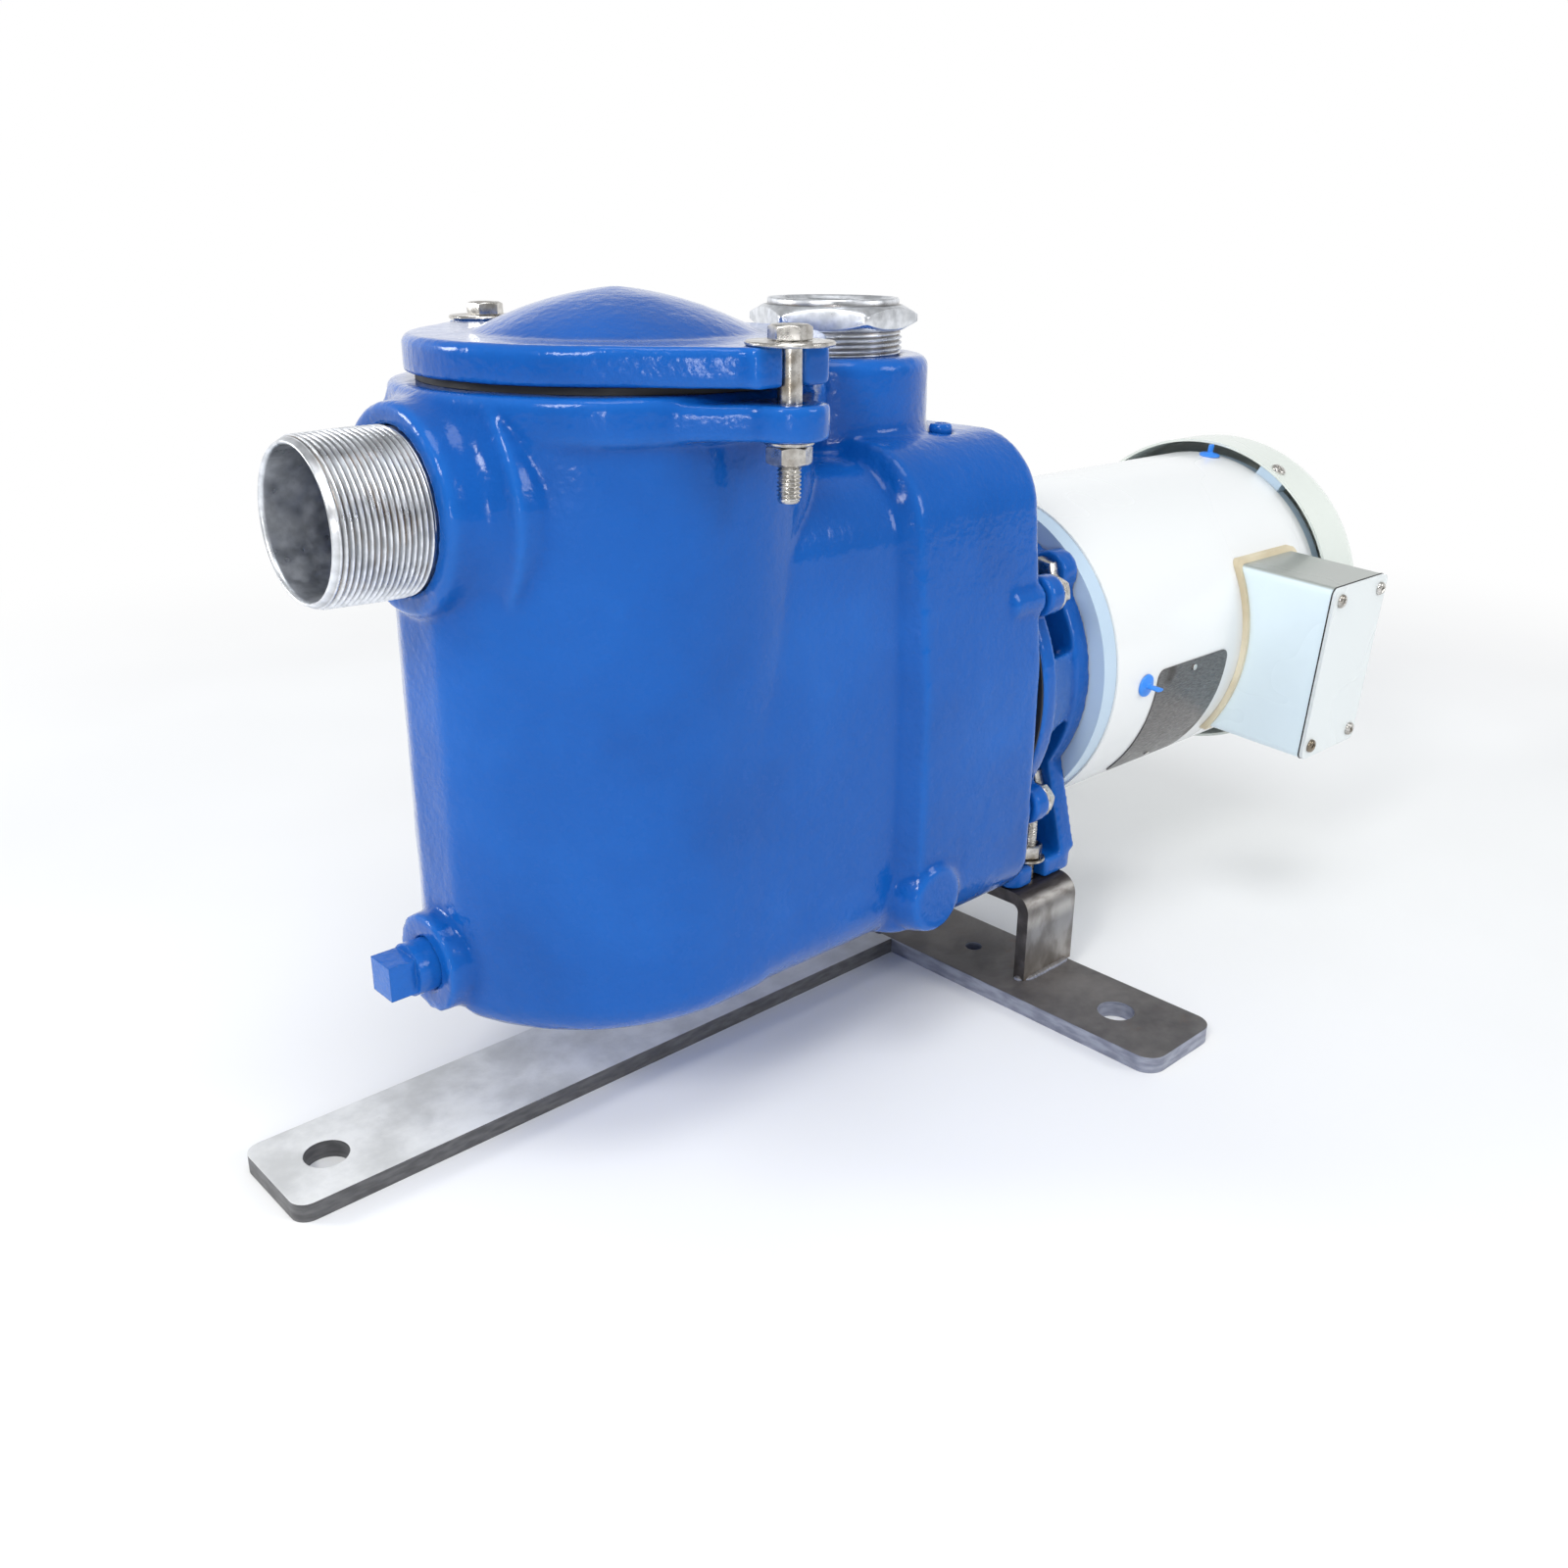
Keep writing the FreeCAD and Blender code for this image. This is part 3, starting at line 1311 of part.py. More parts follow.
def make_rear_end_bell():
    seat_end = rear_bearing_x + bearing_width
    forms = [cylinder_x(end_bell_radius, shell_rear_x, rear_plate_x()),
             tube_x(shell_bore(), shell_bore() - bell_plate, shell_rear_x - bell_spigot,
                    shell_rear_x + tiny),
             cylinder_x(bearing_outer_radius + bearing_wall, rear_bearing_x, shell_rear_x + tiny)]
    lug_top = fan_cover_radius - fan_cover_wall
    half = fan_lug_width / 2
    for k in range(4):
        lug = block(shell_rear_x, shell_rear_x + fan_lug_length, -half, half,
                    shaft_height + end_bell_radius - bell_plate,
                    shaft_height + lug_top + bell_plate)
        lug = lug.common(cylinder_x(lug_top, shell_rear_x, shell_rear_x + fan_lug_length))
        forms.append(around_shaft(lug, fan_lug_angle - 90 + 90 * k))
    bell = fused(forms)
    cuts = [cylinder_x(bearing_outer_radius, rear_bearing_x - tiny, seat_end),
            cylinder_x(journal_radius + shaft_hole_clearance, seat_end - tiny, rear_plate_x() + tiny)]
    for degrees in through_bolt_angles():
        cuts.append(through_bolt_cylinder(through_bolt_radius, shell_rear_x - bell_spigot - tiny,
                                          rear_plate_x() + tiny,
                                          degrees))
    for k in range(4):
        cuts.append(fan_screw_cylinder(fan_screw_radius, end_bell_radius - bell_plate / 2, lug_top + tiny,
                                       k))
    return bell.cut(cuts)


def fan_screw_cylinder(radius, r0, r1, k):
    x = shell_rear_x + fan_lug_length / 2
    screw = cylinder_z(radius, shaft_height + r0, shaft_height + r1, x, 0)
    return around_shaft(screw, fan_lug_angle - 90 + 90 * k)


def make_motor_shell():
    return tube_x(shell_radius, shell_bore(), shell_front_x, shell_rear_x)


def make_through_bolts():
    bolts = []
    for degrees in through_bolt_angles():
        shank = through_bolt_cylinder(through_bolt_radius, shell_front_x - face_bolt_radius, rear_plate_x(),
                                      degrees)
        head = through_bolt_cylinder(through_bolt_head_radius, rear_plate_x(),
                                     rear_plate_x() + through_bolt_head_height,
                                     degrees)
        bolts.append(fused([shank, head]))
    return bolts


def make_fan():
    hub = cylinder_x(fan_hub_radius, fan_x, fan_x + fan_width)
    plate = cylinder_x(fan_radius, fan_x, fan_x + fan_plate)
    half = fan_blade_thickness / 2
    blade = block(fan_x + fan_plate - tiny, fan_x + fan_width, -half, half,
                  shaft_height + fan_hub_radius - fan_blade_root_bite,
                  shaft_height + fan_radius - fan_blade_tip_inset)
    blades = [around_shaft(blade, 360 / fan_blades * k) for k in range(fan_blades)]
    return fused([hub, plate] + blades).cut(cylinder_x(fan_seat_radius, fan_x - tiny,
                                                       fan_x + fan_width + tiny))


def fan_cover_cup(outer_radius, rear_x, corner_round):
    cup = cylinder_x(outer_radius, fan_cover_front_x, rear_x)
    rim = [edge for edge in cup.Edges if edge.BoundBox.XMin > rear_x - tiny]
    return cup.makeFillet(corner_round, rim)


def make_fan_cover():
    cup = fan_cover_cup(fan_cover_radius, fan_cover_rear_x, fan_cover_round)
    inner = fan_cover_cup(fan_cover_radius - fan_cover_wall, fan_cover_rear_x - fan_cover_wall,
                          fan_cover_round - fan_cover_wall)
    cover = cup.cut(inner)
    cuts = []
    for ring in range(fan_cover_slot_rings):
        inside = fan_cover_first_ring + fan_cover_ring_pitch * ring
        sector = tube_x(inside + fan_cover_slot_width, inside, fan_cover_rear_x - 2 * fan_cover_wall,
                        fan_cover_rear_x + tiny)
        spokes = []
        half = math.radians(fan_cover_bridge_angle / 2) * fan_cover_first_ring
        for k in range(fan_cover_slots // 2):
            spoke = block(fan_cover_rear_x - fan_cover_round, fan_cover_rear_x + fan_cover_wall,
                          -fan_cover_radius,
                          fan_cover_radius, shaft_height - half, shaft_height + half)
            spokes.append(around_shaft(spoke, 360 / fan_cover_slots * k))
        cuts.append(sector.cut(spokes))
    for k in range(4):
        cuts.append(fan_screw_cylinder(fan_screw_radius, end_bell_radius, fan_cover_radius + fan_cover_wall,
                                       k))
    return cover.cut(cuts)


def make_fan_cover_screws():
    screws = []
    for k in range(4):
        shank = fan_screw_cylinder(fan_screw_radius, end_bell_radius - bell_plate / 2, fan_cover_radius, k)
        head = fan_screw_cylinder(fan_screw_head_radius, fan_cover_radius,
                                  fan_cover_radius + fan_screw_head_height, k)
        screws.append(fused([shank, head]))
    return screws


# Conduit box, turned a little about the shaft

def conduit_prism(margin, reach0, reach1):
    x0 = conduit_x - conduit_half_length - margin
    x1 = conduit_x + conduit_half_length + margin
    z0 = shaft_height - conduit_centre_drop - conduit_half_height - margin
    z1 = shaft_height - conduit_centre_drop + conduit_half_height + margin
    radius = conduit_corner_round + min(margin, 0) / 2
    corners = [(x0, z0, radius), (x1, z0, radius), (x1, z1, radius), (x0, z1, radius)]
    wire = rounded_wire(corners, lambda p: Vector(p.x, -reach0, p.y))
    prism = Part.Face(wire).extrude(Vector(0, reach0 - reach1, 0))
    return prism


def conduit_wire_hole():
    return cylinder_y(conduit_wire_hole_radius, -conduit_reach + 4 * conduit_wall, -shell_radius / 2,
                      conduit_x,
                      shaft_height)


def conduit_screw_places():
    x_reach = conduit_half_length - conduit_screw_inset
    z_reach = conduit_half_height - conduit_screw_inset
    middle = shaft_height - conduit_centre_drop
    return [(conduit_x + i * x_reach, middle + j * z_reach) for i in (-1, 1) for j in (-1, 1)]


def conduit_screw_cylinder(radius, reach0, reach1, x, z):
    return cylinder_y(radius, -reach1, -reach0, x, z)


def make_conduit_box():
    box_reach = conduit_reach - conduit_cover_thickness
    outside = conduit_prism(0, 0, box_reach)
    saddle = cylinder_x(shell_radius + conduit_gasket_thickness, 0, fan_cover_rear_x)
    hollow = conduit_prism(-conduit_wall, 0, conduit_reach)
    floor = cylinder_x(shell_radius + conduit_gasket_thickness + conduit_wall, 0, fan_cover_rear_x)
    box = outside.cut(saddle).cut(hollow.cut(floor))
    pillars = []
    for x, z in conduit_screw_places():
        pillars.append(conduit_screw_cylinder(conduit_screw_inset - conduit_wall / 2,
                                              box_reach - 2 * conduit_screw_length,
                                              box_reach, x, z))
    box = fused([box] + [pillar.common(outside) for pillar in pillars])
    taps = [conduit_screw_cylinder(conduit_screw_radius, box_reach - conduit_screw_length, conduit_reach, x,
                                   z)
            for x, z in conduit_screw_places()]
    return around_shaft(box.cut(taps + [conduit_wire_hole()]), conduit_turn_angle)


def make_conduit_gasket():
    pad = conduit_prism(conduit_gasket_margin, shell_radius / 2, shell_radius + conduit_half_height)
    ring = tube_x(shell_radius + conduit_gasket_thickness, shell_radius, 0, fan_cover_rear_x)
    return around_shaft(pad.common(ring).cut(conduit_wire_hole()), conduit_turn_angle)


def make_conduit_cover():
    cover = conduit_prism(0, conduit_reach - conduit_cover_thickness, conduit_reach)
    holes = [conduit_screw_cylinder(conduit_screw_radius, conduit_reach - 2 * conduit_cover_thickness,
                                    conduit_reach + conduit_wall, x, z) for x, z in conduit_screw_places()]
    return around_shaft(cover.cut(holes), conduit_turn_angle)


def make_conduit_screws():
    screws = []
    seat = conduit_reach
    for x, z in conduit_screw_places():
        shank = conduit_screw_cylinder(conduit_screw_radius, seat - conduit_screw_length, seat, x, z)
        head = conduit_screw_cylinder(conduit_screw_head_radius, seat, seat + conduit_screw_head_height, x,
                                      z)
        screws.append(around_shaft(fused([shank, head]), conduit_turn_angle))
    return screws


# Small trim on the shell

def shell_sector(r0, r1, x0, x1, low_angle, high_angle):
    # A curved patch on the near side; angles rise from the level of the shaft
    face = Part.Face(Part.makePolygon([Vector(x0, -r0, shaft_height), Vector(x1, -r0, shaft_height),
                                       Vector(x1, -r1, shaft_height), Vector(x0, -r1, shaft_height),
                                       Vector(x0, -r0, shaft_height)]))
    patch = face.revolve(Vector(0, 0, shaft_height), Vector(1, 0, 0), low_angle - high_angle)
    return around_shaft(patch, -low_angle)


def radial_cylinder(radius, r0, r1, x, degrees):
    return around_shaft(cylinder_y(radius, -r1, -r0, x, shaft_height), -degrees)


def make_nameplate():
    seat = shell_radius + nameplate_seat_gap
    return shell_sector(seat, seat + nameplate_thickness, nameplate_x0, nameplate_x1,
                        nameplate_bottom_angle,
                        nameplate_top_angle)


def make_nameplate_rivets():
    edge = 2 * rivet_radius
    margin = math.degrees(edge / shell_radius)
    seat = shell_radius + nameplate_seat_gap + nameplate_thickness
    middle = (nameplate_x0 + nameplate_x1) / 2
    rivets = []
    for angle in (nameplate_top_angle - margin, nameplate_bottom_angle + margin):
        rivets.append(radial_cylinder(rivet_radius, seat, seat + rivet_height, middle, angle))
    return rivets


def make_motor_plugs():
    plugs = []
    for x, angle in ((side_plug_x, side_plug_angle), (top_plug_x, top_plug_angle)):
        cap = radial_cylinder(motor_plug_radius, shell_radius, shell_radius + motor_plug_height, x, angle)
        stem = radial_cylinder(plug_stem_radius, shell_radius - shell_wall / 2, shell_radius, x, angle)
        plugs.append(fused([cap, stem]))
    return plugs


def make_shell_with_plug_holes():
    shell = make_motor_shell()
    holes = [radial_cylinder(plug_stem_radius, shell_radius - shell_wall / 2, shell_radius + shell_wall, x,
                             angle)
             for x, angle in ((side_plug_x, side_plug_angle), (top_plug_x, top_plug_angle))]
    wires = around_shaft(conduit_wire_hole(), conduit_turn_angle)
    return shell.cut(holes + [wires])


nodes = {
    "base_bar": make_base_bar,
    "base_cross_plate": make_cross_plate,
    "riser_bridge": make_riser,
    "foot_bolts": make_foot_bolts,
    "foot_washers": make_foot_washers,
    "foot_nuts": make_foot_nuts,
    "pump_body": make_pump_body,
    "volute_case": make_volute,
    "strainer_basket": make_basket,
    "basket_floor": make_basket_floor,
    "basket_bail": make_basket_bail,
    "trap_cover": make_cover,
    "cover_gasket": make_cover_gasket,
    "cover_bolts": make_cover_bolts,
    "cover_bolt_washers": make_cover_bolt_washers,
    "cover_nut_washers": make_cover_nut_washers,
    "cover_nuts": make_cover_nuts,
    "suction_nipple": make_nipple,
    "discharge_bushing": make_bushing,
    "trap_drain_plug": make_drain_plug,
    "vent_plug": make_vent_plug,
    "casing_gasket": make_casing_gasket,
    "motor_adapter": make_motor_adapter,
    "casing_bolts": make_casing_bolts,
    "casing_bolt_washers": make_casing_bolt_washers,
    "adapter_bolts": make_adapter_bolts,
    "impeller": make_impeller,
    "impeller_key": make_impeller_key,
    "impeller_screw": make_impeller_screw,
    "seal_seat": make_seal_seat,
    "seal_head": make_seal_head,
    "seal_spring": make_seal_spring,
    "water_slinger": make_slinger,
    "motor_shaft": make_motor_shaft,
    "rotor_core": make_rotor_core,
    "stator_core": make_stator_core,
    "stator_windings": make_windings,
    "front_bearing_outer": lambda: make_bearing_outer(front_bearing_x),
    "front_bearing_inner": lambda: make_bearing_inner(front_bearing_x),
    "front_bearing_balls": lambda: make_bearing_balls(front_bearing_x),
    "rear_bearing_outer": lambda: make_bearing_outer(rear_bearing_x),
    "rear_bearing_inner": lambda: make_bearing_inner(rear_bearing_x),
    "rear_bearing_balls": lambda: make_bearing_balls(rear_bearing_x),
    "front_end_bell": make_front_end_bell,
    "rear_end_bell": make_rear_end_bell,
    "motor_shell": make_shell_with_plug_holes,
    "motor_through_bolts": make_through_bolts,
    "cooling_fan": make_fan,
    "fan_cover": make_fan_cover,
    "fan_cover_screws": make_fan_cover_screws,
    "conduit_box": make_conduit_box,
    "conduit_gasket": make_conduit_gasket,
    "conduit_cover": make_conduit_cover,
    "conduit_cover_screws": make_conduit_screws,
    "nameplate": make_nameplate,
    "nameplate_rivets": make_nameplate_rivets,
    "motor_plugs": make_motor_plugs,
}

os.makedirs("parts", exist_ok=True)
for name, make in nodes.items():
    made = make()
    shape = Part.makeCompound(made) if isinstance(made, list) else made
    shape.exportStep(f"parts/{name}.step")
    box = shape.BoundBox
    print(f"{name}: {len(shape.Solids)} solids, valid {shape.isValid()}, "
          f"volume {shape.Volume / 1000:.1f} cm3, "
          f"x {box.XMin:.1f}..{box.XMax:.1f}, "
          f"y {box.YMin:.1f}..{box.YMax:.1f}, "
          f"z {box.ZMin:.1f}..{box.ZMax:.1f}")
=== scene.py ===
import json
import math

import bmesh
import bpy
import numpy as np
from mathutils import Matrix, Vector, noise


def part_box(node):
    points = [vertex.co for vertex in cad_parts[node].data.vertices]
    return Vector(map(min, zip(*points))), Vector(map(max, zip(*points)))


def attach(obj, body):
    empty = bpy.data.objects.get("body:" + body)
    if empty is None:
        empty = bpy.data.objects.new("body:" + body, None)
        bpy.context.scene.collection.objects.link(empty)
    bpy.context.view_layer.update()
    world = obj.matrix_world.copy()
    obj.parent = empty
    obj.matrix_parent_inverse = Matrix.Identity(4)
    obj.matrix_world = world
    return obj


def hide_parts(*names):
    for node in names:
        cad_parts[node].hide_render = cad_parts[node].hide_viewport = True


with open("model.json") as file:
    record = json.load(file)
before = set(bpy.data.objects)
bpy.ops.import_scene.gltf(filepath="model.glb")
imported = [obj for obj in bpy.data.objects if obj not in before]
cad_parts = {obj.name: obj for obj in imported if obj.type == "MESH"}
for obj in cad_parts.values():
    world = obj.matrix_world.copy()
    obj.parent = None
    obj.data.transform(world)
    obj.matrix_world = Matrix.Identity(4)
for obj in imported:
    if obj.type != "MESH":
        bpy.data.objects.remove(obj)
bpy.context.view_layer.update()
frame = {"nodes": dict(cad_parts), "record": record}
cadNodes = frame["nodes"]
mm = 0.001
print("frame loaded:", len(cadNodes), "nodes")

# Shared tools for the mesh work: rings of points, skinned into closed shells

shaftHeight = 150.5 * mm


def inMm(look, *names):
    # the named sizes of a dictionary in mm, as metres
    return (look[name] * mm for name in names)


def roundAngles(count):
    return 2 * math.pi * np.arange(count) / count


def hexRadii(across, angles):
    away = np.mod(angles, math.pi / 3) - math.pi / 6
    return 0.5 * across / np.cos(away)


def ringAt(radius, height, angles):
    radius = np.broadcast_to(radius, angles.shape)
    height = np.broadcast_to(height, angles.shape)
    return np.stack([radius * np.cos(angles), radius * np.sin(angles), height], axis=1)


def profileRings(angles, profile):
    # a ring for each radius and height of the profile
    return [ringAt(radius, height, angles) for radius, height in profile]


def skinRings(rings, closedLoop=False):
    # rings all have the same number of points; a closed loop is a tube with a wall
    count = len(rings[0])
    points = np.concatenate(rings)
    faces = []
    steps = len(rings) if closedLoop else len(rings) - 1
    for r in range(steps):
        a = r * count
        b = ((r + 1) % len(rings)) * count
        for k in range(count):
            n = (k + 1) % count
            faces.append((a + k, a + n, b + n, b + k))
    if not closedLoop:
        faces.append(tuple(range(count)))
        faces.append(tuple((len(rings) - 1) * count + k for k in range(count)))
    return points, faces


def aimed(shell, centre, axis=(0, 0, 1), turn=0.0):
    # stands a shell that was made along z on a centre, along any axis
    points, faces = shell
    aim = Vector(axis).to_track_quat("Z", "Y").to_matrix() @ Matrix.Rotation(turn, 3, "Z")
    return points @ np.array(aim).T + np.array(centre), faces


def threadDip(heights, angles, pitch):
    # 0 on the crest and 1 in the root of a V thread, for one ring of points
    t = np.mod(heights / pitch - angles / (2 * math.pi), 1.0)
    return np.clip(np.abs(2 * t - 1) * 1.3 - 0.15, 0, 1)


def threadRings(major, depth, pitch, start, end, angles, fade, perPitch=8):
    # rings of a threaded length; major may be a function of height
    rings = []
    steps = max(2, int(abs(end - start) / pitch * perPitch))
    for s in range(steps + 1):
        height = start + (end - start) * s / steps
        nearEnd = min(abs(height - start), abs(end - height))
        share = min(1.0, nearEnd / fade)
        outer = major(height) if callable(major) else major
        dip = threadDip(np.full(len(angles), height), angles, pitch)
        rings.append(ringAt(outer - depth * share * dip - depth * 0.5 * (1 - share), height, angles))
    return rings


def makePiece(name, shells, body, slot, replaced=(), sharpFrom=38):
    # joins closed shells into one mesh; edges sharper than sharpFrom degrees stay crisp
    points, faces = [], []
    for shellPoints, shellFaces in shells:
        first = len(points)
        points.extend(map(tuple, shellPoints))
        faces.extend(tuple(first + v for v in face) for face in shellFaces)
    mesh = bpy.data.meshes.new(name)
    mesh.from_pydata(points, [], faces)
    grid = bmesh.new()
    grid.from_mesh(mesh)
    bmesh.ops.recalc_face_normals(grid, faces=grid.faces)
    grid.to_mesh(mesh)
    grid.free()
    mesh.shade_smooth()
    mesh.set_sharp_from_angle(angle=math.radians(sharpFrom))
    placePiece(name, mesh, body, slot, replaced)


def placePiece(name, mesh, body, slot, replaced=()):
    piece = bpy.data.objects.new(name, mesh)
    bpy.context.scene.collection.objects.link(piece)
    mesh.materials.clear()
    mesh.materials.append(finishes[slot])
    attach(piece, body)
    if replaced:
        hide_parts(*replaced)


# Tools for the finishes

def newFinish(name, **sockets):
    finish = bpy.data.materials.new(name)
    finish.use_nodes = True
    shader = finish.node_tree.nodes["Principled BSDF"]
    for socket, value in sockets.items():
        shader.inputs[socket.replace("_", " ")].default_value = value
    return finish, finish.node_tree, shader


def grainNoise(tree, scale, detail=3.0, stretch=(1, 1, 1), roughness=0.5):
    place = tree.nodes.new("ShaderNodeTexCoord")
    stretched = tree.nodes.new("ShaderNodeMapping")
    stretched.inputs["Scale"].default_value = stretch
    grain = tree.nodes.new("ShaderNodeTexNoise")
    grain.inputs["Scale"].default_value = scale
    grain.inputs["Detail"].default_value = detail
    grain.inputs["Roughness"].default_value = roughness
    tree.links.new(place.outputs["Object"], stretched.inputs["Vector"])
    tree.links.new(stretched.outputs["Vector"], grain.inputs["Vector"])
    return grain.outputs["Fac"]


def spread(tree, factor, stops):
    # a ramp; stops are (place, colour) and the colour may be a grey value
    ramp = tree.nodes.new("ShaderNodeValToRGB")
    band = ramp.color_ramp
    band.interpolation = "EASE"
    while len(band.elements) < len(stops):
        band.elements.new(0.5)
    for element, (place, colour) in zip(band.elements, stops):
        element.position = place
        element.color = (*colour, 1) if hasattr(colour, "__len__") else (colour, colour, colour, 1)
    tree.links.new(factor, ramp.inputs["Fac"])
    return ramp.outputs["Color"]


def blendColours(tree, factor, first, second, mode="MIX"):
    mix = tree.nodes.new("ShaderNodeMix")
    mix.data_type = "RGBA"
    mix.blend_type = mode
    for socket, value in ((0, factor), (6, first), (7, second)):
        if isinstance(value, bpy.types.NodeSocket):
            tree.links.new(value, mix.inputs[socket])
        elif socket == 0:
            mix.inputs[0].default_value = value
        else:
            mix.inputs[socket].default_value = (*value, 1)
    return mix.outputs[2]


def paintOn(tree, shader, colour, gloss):
    tree.links.new(colour, shader.inputs["Base Color"])
    tree.links.new(gloss, shader.inputs["Roughness"])


def stackBumps(tree, shader, *layers, edge, socket="Normal"):
    # edges are rounded by edge mm; each layer is (height socket, strength, depth in mm), roughest first
    softEdge = tree.nodes.new("ShaderNodeBevel")
    softEdge.samples = 6
    softEdge.inputs["Radius"].default_value = edge * mm
    last = softEdge.outputs["Normal"]
    for height, strength, depth in layers:
        bump = tree.nodes.new("ShaderNodeBump")
        bump.inputs["Strength"].default_value = strength
        bump.inputs["Distance"].default_value = depth * mm
        tree.links.new(height, bump.inputs["Height"])
        tree.links.new(last, bump.inputs["Normal"])
        last = bump.outputs["Normal"]
    tree.links.new(last, shader.inputs[socket])


def edgeWear(tree, low, high):
    # bright on the edges and dark in the corners of a fine mesh
    shape = tree.nodes.new("ShaderNodeNewGeometry")
    return spread(tree, shape.outputs["Pointiness"], ((low, 0.0), (high, 1.0)))


def alongAxis(tree, vector, axis):
    split = tree.nodes.new("ShaderNodeSeparateXYZ")
    tree.links.new(vector, split.inputs["Vector"])
    return split.outputs[axis]


def facing(tree, axis):
    # how squarely the surface faces along X, Y or Z
    shape = tree.nodes.new("ShaderNodeNewGeometry")
    return alongAxis(tree, shape.outputs["Normal"], axis)


def mathNode(tree, operation, *factors):
    node = tree.nodes.new("ShaderNodeMath")
    node.operation = operation
    for socket, factor in zip(node.inputs, factors):
        tree.links.new(factor, socket)
    return node.outputs[0]


# Finishes

castBlue = {"deep": (0.0003, 0.060, 0.298), "mid": (0.0006, 0.075, 0.356), "pale": (0.003, 0.097, 0.425),
            "worn": (0.02, 0.17, 0.6), "wornShare": (0.35, 0.35, 0.35), "edge": 0.8}


def blueEnamelFinish():
    # thick brushed-on enamel over sand-cast iron: even colour, orange peel, and the sand's fine grain
    finish, tree, shader = newFinish("blueEnamel", Specular_IOR_Level=0.04, Coat_Weight=1.0, Coat_IOR=1.3,
                                     Coat_Roughness=0.13)
    look = castBlue
    patches = grainNoise(tree, 13, 3)
    colour = spread(tree, patches, ((0.3, look["deep"]), (0.5, look["mid"]), (0.75, look["pale"])))
    # the paint is thin and paler on the proud edges
    worn = blendColours(tree, 0.8, edgeWear(tree, 0.46, 0.56), look["wornShare"], "MULTIPLY")
    colour = blendColours(tree, worn, colour, look["worn"])
    gloss = spread(tree, grainNoise(tree, 60, 5, roughness=0.6), ((0.32, 0.16), (0.68, 0.32)))
    paintOn(tree, shader, colour, gloss)
    sandGrain = grainNoise(tree, 620, 3, roughness=0.65)
    peel = grainNoise(tree, 280, 2)
    lumps = grainNoise(tree, 70, 3)
    stackBumps(tree, shader, (lumps, 0.5, 1.3), (peel, 0.6, 0.55), (sandGrain, 0.5, 0.2), edge=look["edge"])
    # the wet-looking top of the paint follows the lumps and fills the grain
    stackBumps(tree, shader, (lumps, 0.35, 0.6), (peel, 0.5, 0.3), edge=look["edge"], socket="Coat Normal")
    return finish


# tone and reach in mm of the painted shade in corners and seams
cornerShadeLook = {"tone": (0.5, 0.5, 0.49), "reach": 3.0}


def whiteEnamelFinish(name, colour, dull, faceUpTone=None):
    # smooth sprayed enamel with painted shade in corners and where two pieces meet; the faces that point up can
    # take a darker tone
    finish, tree, shader = newFinish(name, Coat_Weight=0.2, Coat_Roughness=0.08)
    shade = spread(tree, grainNoise(tree, 5, 2), ((0.0, dull), (1.0, colour)))
    # painted shade: the colour darkens where ambient occlusion finds a corner or a seam
    corner = tree.nodes.new("ShaderNodeAmbientOcclusion")
    corner.samples = 6
    corner.inputs["Distance"].default_value = cornerShadeLook["reach"] * mm
    dirtAndCornerShade = spread(tree, corner.outputs["AO"], ((0.25, 0.6), (0.75, 0.0)))
    shade = blendColours(tree, dirtAndCornerShade, shade, cornerShadeLook["tone"])
    # faces that point up are darker and greyer
    if faceUpTone is not None:
        upward = spread(tree, facing(tree, "Z"), ((0.6, 0.0), (0.95, 1.0)))
        shade = blendColours(tree, upward, shade, faceUpTone)
    gloss = spread(tree, grainNoise(tree, 9, 2), ((0.0, 0.24), (1.0, 0.30)))
    paintOn(tree, shader, shade, gloss)
    stackBumps(tree, shader, (grainNoise(tree, 330, 2), 0.1, 0.12), edge=0.5)
    return finish


def metalFinish(name, dark, light, rough, grainScale=400, stretch=(1, 1, 1), bump=0.1, dirtAndCornerShade=None):
    # fine grain, drawn out by stretch where the metal is brushed or turned; dirt lies in smudges
    finish, tree, shader = newFinish(name, Metallic=1.0)
    shade = spread(tree, grainNoise(tree, grainScale, 4, stretch), ((0.3, dark), (0.7, light)))
    if dirtAndCornerShade is not None:
        smudge = spread(tree, grainNoise(tree, 45, 5), ((0.58, 0.0), (0.7, 1.0)))
        shade = blendColours(tree, smudge, shade, dirtAndCornerShade)
    gloss = spread(tree, grainNoise(tree, grainScale * 0.6, 3, stretch), ((0.3, rough[0]), (0.7, rough[1])))
    paintOn(tree, shader, shade, gloss)
    stackBumps(tree, shader, (grainNoise(tree, grainScale, 3, stretch), bump, 0.1), edge=0.25)
    return finish


def plainFinish(name, dark, light, rough, bump=0.2):
    # rubber, paper, plastic and ceramic: soft patches of tone and a faint grain
    finish, tree, shader = newFinish(name)
    shade = spread(tree, grainNoise(tree, 30, 4), ((0.3, dark), (0.7, light)))
    gloss = spread(tree, grainNoise(tree, 60, 3), ((0.3, rough[0]), (0.7, rough[1])))
    paintOn(tree, shader, shade, gloss)
    stackBumps(tree, shader, (grainNoise(tree, 150, 3), bump, 0.2), edge=0.3)
    return finish


